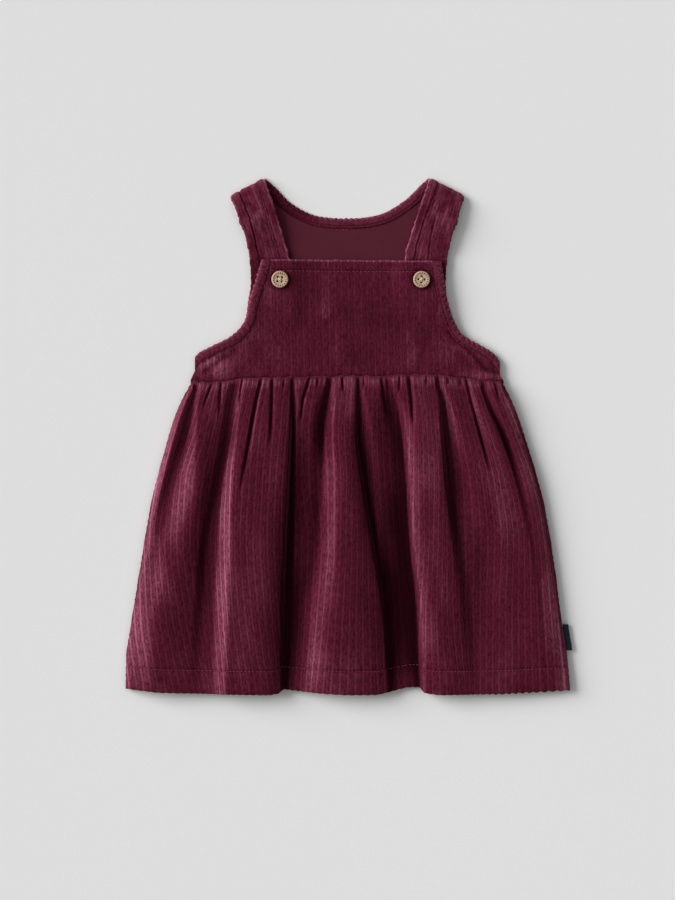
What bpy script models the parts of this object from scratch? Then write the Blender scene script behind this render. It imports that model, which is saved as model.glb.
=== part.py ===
"""Baby's pinafore dress in ribbed velour, laid flat on its back.

The dress lies on Z = 0 with its hem towards -Y. Every piece that a maker would cut is a closed wall
of cloth of its own, kept SEAM_GAP from its neighbours. Sizes are in millimetres until a mesh is made.
"""
import math

import bmesh
import bpy
import numpy as np

MM = 0.001

# Driving sizes, millimetres
SEAM_GAP = 0.3
CHORD_ROOM = 0.4
CLOTH = 1.7
SKIRT_CLOTH = 1.6
STRAP_CLOTH = 2.0
EDGE_ROUNDING = 0.3
BAND_WIDTH = 6.6
NECK_BAND_WIDTH = 7.6
NECK_BAND_TOP = 2.6
BACK_BAND_TOP = 3.0
FRONT_BAND_TOP = 2.9
WALE_PITCH = 5.0
WALE_RISE = 0.3
SKIRT_CUT_WIDTH = 410.0
HEM_STITCH_Y = -180.5
HEM_STITCH_SINK = 0.35
BIB_HEM = 8.5
BUTTON_DIAMETER = 13.6
BUTTON_THICKNESS = 2.6
BUTTON_PLACES = (("button_left", -53.7, 121.8), ("button_right", 56.1, 121.7))
LABEL_SPAN_Y = (-165.6, -145.4)
LABEL_REACH = 4.4
LABEL_THICKNESS = 1.3

# Heights above the floor: the cloth's inner surface, its outer one at the waist seam, and the seams
BODICE_REST = 3.4
OVER_STRAP = 5.75
STRAP_TURN = 2.7
STRAP_ARCH = 1.4
WAIST_REST = 4.4
SEAM_TOP = 6.0
BACK_FOLD_RISE = 2.1
BACK_GATHERS = 24
SIDE_SEAM_LOW = 1.95
SIDE_SEAM_HIGH = 3.75

WINE = (0.072, 0.010, 0.021)
WINE_BAND = (0.060, 0.008, 0.018)
COCONUT = (0.52, 0.36, 0.22)
NAVY = (0.014, 0.020, 0.032)

# Side seams of the skirt: height on the plan, left edge, right edge
SIDE_Y, SIDE_LEFT, SIDE_RIGHT = np.array((
    (44.0, -122.6, 119.6),
    (31.0, -129.4, 125.8),
    (13.0, -136.4, 132.5),
    (-12.0, -143.4, 140.3),
    (-49.0, -152.7, 150.4),
    (-99.0, -161.2, 158.9),
    (-148.0, -169.0, 165.1),
    (-173.0, -172.4, 169.0),
    (-199.0, -172.8, 171.2),
)).T

# Waist seam: x, y
WAIST_X, WAIST_Y = np.array((
    (-124.0, 43.0), (-108.0, 42.3), (-92.0, 44.0), (-77.0, 45.3), (-45.0, 46.1), (0.0, 46.9),
    (28.0, 47.0), (50.0, 48.2), (64.0, 48.0), (90.0, 45.5), (105.0, 43.6), (121.0, 42.8),
)).T

# Lower edge of the skirt: x, y
HEM_X, HEM_Y = np.array((
    (-173.0, -195.0), (-147.0, -198.0), (-104.0, -199.0), (-61.0, -199.7), (-54.0, -198.4),
    (-51.0, -195.4), (-40.0, -196.7), (-20.0, -198.6), (0.0, -199.7), (22.0, -199.6),
    (33.0, -197.0), (45.0, -194.0), (55.0, -193.8), (58.5, -198.2), (70.0, -199.7),
    (117.0, -199.0), (148.0, -197.4), (172.0, -196.0),
)).T

# Front folds of the skirt. Each row is one crest, lip or trough, followed down the skirt at the
# five fold stations: where it runs (x) and how high the cloth is there (z)
FOLD_STATIONS = (40.0, 5.0, -50.0, -111.0, -198.0)
FOLDS = (
    # crest, lip or trough      x at the five stations                 z at the five stations
    ("left_side_roll",         (-121.5, -134.5, -147.6, -158.0, -168.0), (8.4, 9.4, 10.2, 10.2, 9.6)),
    ("left_side_trough",       (-115.5, -124.5, -141.0, -150.0, -158.0), (7.2, 7.6, 10.0, 11.4, 10.6)),
    ("left_crest",             (-103.0, -110.0, -118.6, -123.2, -123.2), (9.6, 13.2, 15.2, 15.6, 13.8)),
    ("left_trough",            (-87.6, -91.5, -105.4, -104.6, -107.8), (6.9, 7.4, 8.0, 8.2, 8.6)),
    ("left_wall_top",          (-79.0, -81.4, -91.4, -95.3, -99.2), (9.6, 13.2, 14.8, 15.2, 13.4)),
    ("left_plateau",           (-67.4, -67.4, -72.0, -75.2, -76.8), (9.7, 13.4, 15.6, 16.2, 14.4)),
    ("left_lip",               (-47.4, -45.8, -50.4, -54.2, -55.8), (9.6, 13.8, 16.2, 16.8, 14.8)),
    ("centre_left_trough",     (-43.2, -42.2, -46.2, -47.7, -48.8), (6.3, 6.0, 5.9, 5.9, 6.3)),
    ("centre_left_step",       (-39.6, -38.8, -41.1, -39.5, -40.3), (8.8, 9.2, 8.4, 7.9, 7.8)),
    ("centre_low_panel",       (-24.0, -25.6, -24.0, -25.6, -33.3), (9.0, 10.0, 9.8, 9.4, 9.2)),
    ("centre_shoulder",        (-9.4, -12.4, -10.0, -11.6, -17.0), (9.6, 13.4, 15.0, 15.2, 12.8)),
    ("centre_crest",           (-2.4, -3.1, 0.0, 2.3, -0.8), (9.6, 14.0, 16.0, 16.6, 14.2)),
    ("centre_lip",             (5.4, 6.2, 11.6, 23.2, 30.2), (9.4, 13.2, 14.8, 14.2, 12.0)),
    ("centre_right_trough",    (31.8, 35.6, 40.3, 40.3, 46.5), (6.4, 6.2, 5.9, 6.0, 6.6)),
    ("right_wall_top",         (41.9, 44.2, 47.3, 52.7, 58.2), (8.8, 13.4, 15.0, 15.2, 13.8)),
    ("right_crest",            (55.0, 58.2, 62.8, 67.4, 72.0), (9.6, 14.8, 16.8, 17.0, 14.6)),
    ("right_lip",              (69.0, 71.3, 75.2, 80.6, 93.8), (9.5, 13.8, 15.6, 14.8, 12.2)),
    ("right_trough",           (72.8, 75.2, 80.6, 87.6, 107.8), (6.6, 6.5, 6.8, 7.6, 9.6)),
    ("right_low_crest",        (83.7, 86.8, 96.9, 107.7, 124.8), (9.5, 13.4, 14.6, 14.2, 12.2)),
    ("right_short_trough",     (91.5, 100.0, 117.0, 126.3, 134.1), (7.2, 8.6, 12.8, 13.2, 11.6)),
    ("right_narrow_crest",     (95.3, 108.5, 126.3, 135.6, 141.8), (9.4, 13.0, 13.8, 13.2, 11.6)),
    ("right_side_trough",      (99.2, 117.8, 135.6, 144.9, 151.9), (6.9, 7.2, 8.4, 11.4, 11.2)),
    ("right_side_crest",       (107.0, 125.6, 142.6, 152.7, 160.4), (9.4, 12.6, 13.0, 12.2, 11.0)),
    ("right_side_roll",        (117.4, 129.4, 146.8, 156.4, 166.4), (8.4, 9.2, 9.6, 9.8, 9.4)),
)

# Short gathers under the waist seam: x at the seam, x where it fades, length, depth, half width
GATHERS = (
    (-109.3, -112.4, 17.0, 1.3, 2.2),
    (-100.8, -102.3, 19.0, 1.8, 2.2),
    (-93.8, -95.3, 13.0, 1.2, 1.9),
    (-69.0, -76.7, 58.0, 3.2, 3.0),
    (-58.9, -56.6, 42.0, 2.6, 2.4),
    (-52.7, -51.9, 16.0, 1.3, 1.9),
    (-32.6, -36.4, 42.0, 2.8, 2.6),
    (-25.6, -27.1, 16.0, 1.4, 1.9),
    (-15.5, -20.2, 62.0, 3.2, 2.9),
    (-8.5, -8.5, 15.0, 1.4, 1.9),
    (13.2, 14.0, 20.0, 1.7, 2.2),
    (20.2, 22.5, 22.0, 1.9, 2.3),
    (25.6, 28.0, 19.0, 1.6, 2.0),
    (47.3, 48.8, 46.0, 2.6, 3.4),
    (61.2, 62.0, 15.0, 1.4, 2.0),
    (77.5, 79.1, 20.0, 1.8, 2.2),
    (103.1, 107.0, 17.0, 1.5, 2.2),
    (111.6, 114.7, 16.0, 1.3, 2.0),
)

# Outer edge of each front armhole, from the side seam up to the top of the bib: x, y
ARMHOLE_FRONT = {
    "left": ((-125.0, 54.5), (-119.9, 61.0), (-115.5, 65.5), (-106.2, 70.1), (-91.5, 77.9), (-81.4, 88.7),
             (-77.5, 104.2), (-72.1, 122.1), (-67.4, 138.0)),
    "right": ((122.0, 50.5), (117.4, 57.6), (112.0, 64.5), (101.5, 70.9), (87.6, 79.4), (80.6, 91.8),
              (76.0, 107.3), (73.6, 122.1), (71.3, 137.0)),
}
# Outer edge of each back armhole, from the side seam up to the shoulder fold: x, y
ARMHOLE_BACK = {
    "left": ((-124.4, 53.9), (-119.2, 60.4), (-114.8, 64.8), (-105.6, 69.4), (-90.8, 77.3), (-81.2, 88.0),
             (-78.6, 103.0), (-76.2, 120.0), (-76.7, 140.7), (-79.8, 157.7), (-86.0, 174.8),
             (-92.5, 187.6)),
    "right": ((121.4, 49.9), (116.8, 57.0), (111.4, 63.8), (101.0, 70.2), (87.0, 78.8), (79.9, 91.4),
              (75.6, 107.3), (73.6, 122.1), (75.8, 138.0), (80.6, 160.8), (84.5, 174.8),
              (89.4, 187.6)),
}
# Neck edge of the back, from the left shoulder to the right one: x, y
NECK_EDGE = ((-65.6, 200.4), (-56.6, 192.6), (-44.2, 180.2), (-25.6, 171.2), (0.0, 169.0),
             (24.0, 172.2), (42.6, 182.5), (55.0, 194.4), (61.8, 200.4))
# Front of each strap from the shoulder fold down to its end under the bib: outer and inner edge
STRAP_EDGES = {
    "left": (((-91.5, 185.6), (-65.6, 199.8)), ((-86.0, 174.8), (-59.9, 184.6)),
             ((-79.8, 157.7), (-54.0, 165.5)), ((-76.7, 140.7), (-48.0, 145.5)),
             ((-76.0, 128.3), (-44.5, 130.0)), ((-75.6, 112.0), (-42.8, 112.0))),
    "right": (((88.4, 185.6), (62.4, 199.8)), ((84.5, 174.8), (57.2, 184.6)),
              ((80.0, 157.7), (51.0, 165.5)), ((76.4, 140.7), (44.8, 145.5)),
              ((75.0, 128.3), (42.4, 130.0)), ((74.6, 112.0), (41.6, 112.0))),
}
BIB_TOP_LEFT = 136.8
BIB_TOP_RIGHT = 135.6
# Side seams of the bodice: x at the waist seam and at the underarm
WING_LEFT = (-122.7, -118.9)
WING_RIGHT = (119.7, 116.9)


def clear_scene():
    for old in list(bpy.data.objects):
        bpy.data.objects.remove(old, do_unlink=True)


def smooth(value):
    """Ease from 0 to 1 while value goes from 0 to 1."""
    value = np.clip(value, 0.0, 1.0)
    return value * value * (3.0 - 2.0 * value)


def through(knots, heights, where):
    """Height at `where` of the smooth curve through the knots, level at each crest and trough."""
    knots = np.asarray(knots, float)
    heights = np.asarray(heights, float)
    run = np.diff(knots)
    slope = np.diff(heights) / run
    tangent = np.zeros_like(heights)
    tangent[0] = slope[0]
    tangent[-1] = slope[-1]
    before = slope[:-1]
    after = slope[1:]
    rising = before * after > 1e-9
    weight_a = 2.0 * run[1:] + run[:-1]
    weight_b = run[1:] + 2.0 * run[:-1]
    safe_before = np.where(rising, before, 1.0)
    safe_after = np.where(rising, after, 1.0)
    mean = (weight_a + weight_b) / (weight_a / safe_before + weight_b / safe_after)
    tangent[1:-1] = np.where(rising, mean, 0.0)
    where = np.clip(where, knots[0], knots[-1])
    span = np.clip(np.searchsorted(knots, where) - 1, 0, len(run) - 1)
    u = (where - knots[span]) / run[span]
    start = (1 + 2 * u) * (1 - u) ** 2 * heights[span] + u * (1 - u) ** 2 * run[span] * tangent[span]
    end = u * u * (3 - 2 * u) * heights[span + 1] + u * u * (u - 1) * run[span] * tangent[span + 1]
    return start + end


def curve_through(points, step):
    """Plan points about `step` apart on a smooth curve through the given ones."""
    points = np.asarray(points, float)
    padded = np.vstack((2 * points[0] - points[1], points, 2 * points[-1] - points[-2]))
    fine = [points[0]]
    for a, b, c, d in zip(padded, padded[1:], padded[2:], padded[3:]):
        for u in np.linspace(0.0, 1.0, 33)[1:]:
            fine.append(0.5 * (2 * b + (c - a) * u + (2 * a - 5 * b + 4 * c - d) * u ** 2
                               + (3 * b - a - 3 * c + d) * u ** 3))
    fine = np.array(fine)
    length = np.concatenate(((0.0,), np.cumsum(np.hypot(*np.diff(fine, axis=0).T))))
    count = max(2, int(round(length[-1] / step)) + 1)
    marks = np.linspace(0.0, length[-1], count)
    return np.column_stack([np.interp(marks, length, fine[:, i]) for i in (0, 1)])


def shifted(curve, distance):
    """The curve moved sideways to its right by `distance`."""
    along = np.gradient(curve, axis=0)
    along /= np.hypot(along[:, 0], along[:, 1])[:, None]
    return curve + np.column_stack((along[:, 1], -along[:, 0])) * distance


def waist_y(x):
    return through(WAIST_X, WAIST_Y, x)


WAIST_MIDDLE = float(waist_y(np.array(0.0)))
WAIST_HALF = 122.0


# ---------------------------------------------------------------- meshes

def finish(name, mesh_builder, material, cuts=()):
    """Make the bmesh one closed object. Each cut keeps what lies behind its plane."""
    for place, direction in cuts:
        geometry = mesh_builder.verts[:] + mesh_builder.edges[:] + mesh_builder.faces[:]
        bmesh.ops.bisect_plane(mesh_builder, geom=geometry, dist=1e-7, clear_outer=True,
                               plane_co=[v * MM for v in place], plane_no=direction)
        rim = [edge for edge in mesh_builder.edges if edge.is_boundary]
        bmesh.ops.holes_fill(mesh_builder, edges=rim, sides=0)
    bmesh.ops.recalc_face_normals(mesh_builder, faces=mesh_builder.faces[:])
    mesh = bpy.data.meshes.new(name)
    mesh_builder.to_mesh(mesh)
    mesh_builder.free()
    mesh.shade_smooth()
    mesh.set_sharp_from_angle(angle=math.radians(50))
    mesh.materials.append(material)
    piece = bpy.data.objects.new(name, mesh)
    bpy.context.collection.objects.link(piece)
    return piece


def wale_relief(columns):
    """Rise of each column over the plain cloth: a crest and a furrow by turns, plain at the sides."""
    relief = WALE_RISE * np.where(np.arange(columns + 1) % 2 == 1, 1.0, -0.4)
    relief[0] = 0.0
    relief[-1] = 0.0
    return relief


def add_grid(bm, grid):
    """Vertices for rows of points."""
    return [[bm.verts.new(point * MM) for point in row] for row in grid]


def strip(bm, first, second):
    """Faces between two rows. The second may have a whole fraction of the first's columns."""
    ratio = (len(first) - 1) // (len(second) - 1)
    if ratio == 1:
        for i in range(len(first) - 1):
            bm.faces.new((first[i], first[i + 1], second[i + 1], second[i]))
        return
    half = (ratio + 1) // 2
    for i in range(len(second) - 1):
        for k in range(ratio):
            near = second[i] if k < half else second[i + 1]
            bm.faces.new((first[ratio * i + k], first[ratio * i + k + 1], near))
        bm.faces.new((first[ratio * i + half], second[i + 1], second[i]))


def cloth_wall(name, outer, inner, material, cuts=()):
    """A wall between an outer grid of points and a plainer inner one with as many rows."""
    bm = bmesh.new()
    outer = add_grid(bm, outer)
    inner = add_grid(bm, inner)
    for grid in (outer, inner):
        for upper, lower in zip(grid, grid[1:]):
            strip(bm, upper, lower)
    strip(bm, outer[0], inner[0])
    strip(bm, outer[-1], inner[-1])
    for side in (0, -1):
        strip(bm, [row[side] for row in outer], [row[side] for row in inner])
    return finish(name, bm, material, cuts)


def swept(name, rings, material, cuts=()):
    """A solid through closed rings of points, capped at both ends."""
    bm = bmesh.new()
    rings = add_grid(bm, rings)
    for ring in rings:
        ring.append(ring[0])
    for near, far in zip(rings, rings[1:]):
        strip(bm, near, far)
    bm.faces.new(rings[0][:-1])
    bm.faces.new(rings[-1][:-1])
    return finish(name, bm, material, cuts)


def make_material(name, color, roughness, sheen):
    material = bpy.data.materials.new(name)
    material.use_nodes = True
    shader = material.node_tree.nodes["Principled BSDF"]
    shader.inputs["Base Color"].default_value = (*color, 1.0)
    shader.inputs["Roughness"].default_value = roughness
    shader.inputs["Sheen Weight"].default_value = sheen
    material.diffuse_color = (*color, 1.0)
    return material


# ---------------------------------------------------------------- skirt

def side_edges(y):
    order = SIDE_Y[::-1]
    return through(order, SIDE_LEFT[::-1], y), through(order, SIDE_RIGHT[::-1], y)


def side_seam_z(y):
    """Height of the seam between front and back along the skirt's sides."""
    return SIDE_SEAM_LOW + (SIDE_SEAM_HIGH - SIDE_SEAM_LOW) * smooth((44.0 - y) / 22.0)


def station(values, y):
    return float(through(FOLD_STATIONS[::-1], values[::-1], np.array(y)))


def front_profile(y):
    """The front skirt's outer surface across one level: x and z, closely spaced."""
    left, right = side_edges(y)
    edge_z = side_seam_z(y) + SEAM_GAP / 2 + 1.3
    knots_x = [left, left + 0.8]
    knots_z = [edge_z, edge_z + 1.1]
    for _, places, heights in FOLDS:
        knots_x.append(station(places, y))
        knots_z.append(station(heights, y))
    knots_x += [right - 0.8, right]
    knots_z += [edge_z + 1.1, edge_z]
    x = np.linspace(left, right, 1400)
    z = through(knots_x, knots_z, x)
    below_seam = WAIST_MIDDLE - y
    for start_x, end_x, length, depth, half_width in GATHERS:
        reach = below_seam / length
        if reach < 1.0:
            centre = start_x + (end_x - start_x) * reach
            z -= depth * smooth(2.0 * (1.0 - reach)) * np.exp(-((x - centre) / half_width) ** 2)
    rise = smooth(below_seam / 9.0)
    edge = smooth((np.minimum(x - left, right - x) - 0.4) / 6.0)
    level = edge_z + (SEAM_TOP - edge_z) * edge
    z = level + (z - level) * rise
    lowest = edge_z + (WAIST_REST + SKIRT_CLOTH - edge_z) * edge
    return x, np.maximum(z, lowest)


def back_profile(y):
    """The back skirt's underside across one level: x and z, closely spaced."""
    left, right = side_edges(y)
    x = np.linspace(left, right, 1400)
    z = np.zeros_like(x)
    below_seam = WAIST_MIDDLE - y
    share = (y - FOLD_STATIONS[-1]) / (FOLD_STATIONS[0] - FOLD_STATIONS[-1])
    for i in range(BACK_GATHERS):
        place = (i + 0.5 + 0.22 * math.sin(2.3 * i)) / BACK_GATHERS
        long_fold = i % 4 == 1
        length = 260.0 if long_fold else 34.0 + 24.0 * math.sin(1.9 * i) ** 2
        width = 2.6 + (5.5 * (1.0 - share) if long_fold else 0.0)
        reach = below_seam / length
        if reach < 1.0:
            centre = left + (right - left) * place
            fade = smooth(below_seam / 5.0) * smooth(1.5 * (1.0 - reach))
            z = np.maximum(z, BACK_FOLD_RISE * fade * (1.0 - smooth(np.abs(x - centre) / width)))
    rim = np.minimum(x - left, right - x)
    lift = side_seam_z(y) - SEAM_GAP / 2 - SKIRT_CLOTH
    z *= smooth((rim - 2.0) / 6.0)
    return x, np.maximum(z, max(0.0, lift) * (1.0 - np.clip(rim / 5.0, 0.0, 1.0)) ** 2)


def parallel(x, z, thickness, side):
    """The surface that lies `thickness` below (side -1) or above (side 1) the profile."""
    step = x[1] - x[0]
    reach = int(thickness / step)
    best = side * z + thickness
    for k in range(1, reach + 1):
        cap = math.sqrt(thickness ** 2 - (k * step) ** 2)
        best[k:] = np.maximum(best[k:], side * z[:-k] + cap)
        best[:-k] = np.maximum(best[:-k], side * z[k:] + cap)
    return side * best


def spread(x, z, columns):
    """Places of the columns, equal lengths of cloth apart along the profile."""
    length = np.concatenate(((0.0,), np.cumsum(np.hypot(np.diff(x), np.diff(z)))))
    return np.interp(np.linspace(0.0, length[-1], columns + 1), length, x)


def skirt_row_y(x, y, seam_side):
    """Plan y of a row's points: the row follows the waist seam above and the hem below."""
    bottom = FOLD_STATIONS[-1]
    share = np.clip((WAIST_MIDDLE - y) / (WAIST_MIDDLE - bottom), 0.0, 1.0)
    waist_shift = waist_y(x * WAIST_HALF / np.abs(x).max()) - WAIST_MIDDLE
    hem_shift = np.interp(x, HEM_X, HEM_Y) - bottom
    return y + waist_shift * (1.0 - share) ** 3 + hem_shift * smooth((share - 0.7) / 0.3) - seam_side


FRONT_ROWS = (WAIST_MIDDLE, 43.0, 37.0, 27.0, 8.0, -18.0, -50.0, -84.0, -119.0, -154.0, HEM_STITCH_Y, -198.0)
BACK_ROWS = (WAIST_MIDDLE, 43.0, 37.0, 27.0, 8.0, -50.0, -119.0, -198.0)


def build_skirt_front(material):
    outer = []
    inner = []
    columns = 2 * round(SKIRT_CUT_WIDTH / WALE_PITCH)
    for y in FRONT_ROWS:
        x, z = front_profile(y)
        under = parallel(x, z, SKIRT_CLOTH, -1)
        place = spread(x, z, columns)
        top = np.interp(place, x, z)
        slope = np.gradient(top, place)
        wale = wale_relief(columns)
        if y == HEM_STITCH_Y:
            wale -= HEM_STITCH_SINK
        lean = np.sqrt(1.0 + slope ** 2)
        row_y = skirt_row_y(place, y, SEAM_GAP / 2)
        outer.append(np.column_stack((place - wale * slope / lean, row_y, top + wale / lean)))
        inner.append(np.column_stack((place, row_y, np.interp(place, x, under)))[::2])
    return cloth_wall("skirt_front", outer, inner, material)


def build_skirt_back(material):
    outer = []
    inner = []
    columns = 4 * BACK_GATHERS
    for y in BACK_ROWS:
        x, z = back_profile(y)
        over = parallel(x, z, SKIRT_CLOTH, 1)
        place = np.linspace(x[0], x[-1], columns + 1)
        row_y = skirt_row_y(place, y, SEAM_GAP / 2)
        outer.append(np.column_stack((place, row_y, np.interp(place, x, z))))
        inner.append(np.column_stack((place, row_y, np.interp(place, x, over)))[::2])
    return cloth_wall("skirt_back", outer, inner, material)


# ---------------------------------------------------------------- bodice

def bodice_height(x, y):
    """Height of the front bodice's inner surface."""
    z = np.full_like(x, BODICE_REST)
    for middle in (-59.2, 58.2):
        across = smooth((26.0 - np.abs(x - middle)) / 8.0)
        z += (OVER_STRAP - BODICE_REST) * across * smooth((y - 80.0) / 14.0)
    above_seam = y - waist_y(x)
    z += (WAIST_REST - BODICE_REST) * smooth((18.0 - above_seam) / 16.0)
    crease = np.exp(-((x - 52.0 - 0.25 * (y - 60.0)) / 7.0) ** 2) * smooth((80.0 - y) / 40.0)
    z += 0.9 * crease * smooth(above_seam / 10.0)
    side = np.minimum(x - WING_LEFT[0], WING_RIGHT[0] - x)
    low = SIDE_SEAM_LOW + SEAM_GAP / 2
    return low + (z - low) * (0.35 + 0.65 * smooth(side / 12.0))


def bodice_outline():
    """Upper edge of the front bodice between the two armhole bands: x and y, left to right."""
    inset = BAND_WIDTH + CHORD_ROOM
    left = shifted(curve_through(ARMHOLE_FRONT["left"], 2.0), inset)
    right = shifted(curve_through(ARMHOLE_FRONT["right"], 2.0), -inset)[::-1]
    left = left[left[:, 1] < BIB_TOP_LEFT]
    right = right[right[:, 1] < BIB_TOP_RIGHT]
    corners = ((left[-1, 0] + 0.2, BIB_TOP_LEFT), (right[0, 0] - 0.2, BIB_TOP_RIGHT))
    return np.vstack((left, corners, right))


def build_bodice_front(material):
    columns = 2 * round((WING_RIGHT[0] - WING_LEFT[0]) / WALE_PITCH)
    foot_x = np.linspace(WING_LEFT[0], WING_RIGHT[0], columns + 1)
    foot_y = waist_y(foot_x) + SEAM_GAP / 2
    lean_left = smooth((-104.0 - foot_x) / 18.7)
    lean_right = smooth((foot_x - 104.0) / 15.7)
    head_x = foot_x + lean_left * (WING_LEFT[1] - WING_LEFT[0])
    head_x += lean_right * (WING_RIGHT[1] - WING_RIGHT[0])
    outline = bodice_outline()
    head_y = np.interp(head_x, outline[:, 0], outline[:, 1])
    bib = (head_y > BIB_TOP_RIGHT - 1.0)
    stitch = 1.0 - BIB_HEM / (BIB_TOP_LEFT - WAIST_MIDDLE)
    outer = []
    inner = []
    for share in (0.0, 0.13, 0.38, 0.62, 0.80, stitch, 1.0):
        x = foot_x + (head_x - foot_x) * share
        y = foot_y + (head_y - foot_y) * share
        z = bodice_height(x, y)
        wale = wale_relief(columns)
        if share == stitch:
            wale = np.where(bib, wale - HEM_STITCH_SINK, wale)
        if share == 1.0:
            wale -= EDGE_ROUNDING
        outer.append(np.column_stack((x, y, z + CLOTH + wale)))
        inner.append(np.column_stack((x, y, z))[::2])
    return cloth_wall("bodice_front", outer[::-1], inner[::-1], material)


def fold_line(side):
    """A point on the shoulder fold and the plan direction that leads away from the strap."""
    outer, inner = np.array(STRAP_EDGES[side][0])
    along = (inner - outer) / np.hypot(*(inner - outer))
    away = np.array((-along[1], along[0]))
    if away[1] < 0:
        away = -away
    return outer, away


REAR_REACH = 6.0
STRAP_LENGTH = 74.0
BIB_EDGE_ON_STRAP = 48.0
LEG_STEP = 0.5


def shoulder_cut(side, gap):
    """Plane that ends the back's pieces just short of the strap's rear end."""
    point, away = fold_line(side)
    place = point - away * (REAR_REACH + gap)
    return (place[0], place[1], 0.0), (away[0], away[1], 0.0)


def build_bodice_back(material):
    bands = {side: curve_through(ARMHOLE_BACK[side], 4.0) for side in ("left", "right")}
    left = shifted(bands["left"], BAND_WIDTH)
    right = shifted(bands["right"], -BAND_WIDTH)
    neck = shifted(curve_through(NECK_EDGE, 4.5), NECK_BAND_WIDTH)
    waist_x = np.linspace(WING_RIGHT[0], WING_LEFT[0], 30)
    waist = np.column_stack((waist_x, waist_y(waist_x) + SEAM_GAP / 2))
    outline = np.vstack((waist, left, neck, right[::-1]))
    bm = bmesh.new()
    corners = [bm.verts.new((x * MM, y * MM, 0.0)) for x, y in outline]
    base = bm.faces.new(corners)
    top = bmesh.ops.extrude_face_region(bm, geom=[base])
    raised = [item for item in top["geom"] if isinstance(item, bmesh.types.BMVert)]
    bmesh.ops.translate(bm, verts=raised, vec=(0.0, 0.0, CLOTH * MM))
    cuts = [shoulder_cut(side, SEAM_GAP) for side in ("left", "right")]
    cuts += [((WING_LEFT[0], 0.0, 0.0), (-1.0, 0.0, 0.0)), ((WING_RIGHT[0], 0.0, 0.0), (1.0, 0.0, 0.0))]
    return finish("bodice_back", bm, material, cuts)


# ---------------------------------------------------------------- bands

def band_fullness(x):
    """Share of its full height that a band keeps: it flattens towards the side seams."""
    return 0.64 + 0.36 * smooth(min(x - WING_LEFT[1], WING_RIGHT[1] - x) / 20.0)


def band_rings(edge, section, inward, base):
    """Rings along an edge curve. Section points are distance in from the edge and height."""
    tracks = [shifted(edge, inward * distance) for distance, _ in section]
    rings = []
    for i in range(len(edge)):
        ring = []
        for (_, height), track in zip(section, tracks):
            x, y = track[i]
            ring.append(np.array((x, y, base(x, y) + height * band_fullness(x))))
        rings.append(ring)
    return rings


def build_armhole_bands(material):
    panel_edge = BAND_WIDTH - SEAM_GAP
    front = ((0.0, 1.2), (0.6, 2.3), (2.2, FRONT_BAND_TOP), (4.4, 2.7), (panel_edge, 1.7),
             (panel_edge, 0.1), (3.4, 0.0), (0.7, 0.2))
    back = ((0.0, 1.2), (0.5, 2.4), (2.0, BACK_BAND_TOP), (4.4, BACK_BAND_TOP), (panel_edge, 1.9),
            (panel_edge, 0.0), (0.7, 0.0))
    wing_cut = {"left": ((WING_LEFT[1] - 0.4, 0.0, 0.0), (-1.0, 0.0, 0.0)),
                "right": ((WING_RIGHT[1], 0.0, 0.0), (1.0, 0.0, 0.0))}
    bib_top = {"left": BIB_TOP_LEFT, "right": BIB_TOP_RIGHT}

    def front_base(x, y):
        return float(bodice_height(np.array((x,)), np.array((y,)))[0])

    for side, inward in (("left", 1), ("right", -1)):
        rings = band_rings(curve_through(ARMHOLE_FRONT[side], 4.6), front, inward, front_base)
        top_cut = ((0.0, bib_top[side], 0.0), (0.0, 1.0, 0.0))
        swept("armhole_band_front_" + side, rings, material, (top_cut, wing_cut[side]))
        rings = band_rings(curve_through(ARMHOLE_BACK[side], 5.2), back, inward, lambda x, y: 0.0)
        shoulder = shoulder_cut(side, SEAM_GAP)
        swept("armhole_band_back_" + side, rings, material, (shoulder, wing_cut[side]))


def build_neck_band(material):
    panel_edge = NECK_BAND_WIDTH - SEAM_GAP
    section = ((0.0, 1.1), (0.7, 2.1), (2.6, NECK_BAND_TOP), (5.4, NECK_BAND_TOP), (panel_edge, 1.8),
               (panel_edge, 0.0), (0.7, 0.0))
    rings = band_rings(curve_through(NECK_EDGE, 5.0), section, 1, lambda x, y: 0.0)
    cuts = [shoulder_cut(side, SEAM_GAP) for side in ("left", "right")]
    swept("neck_band", rings, material, cuts)


# ---------------------------------------------------------------- straps

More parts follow.
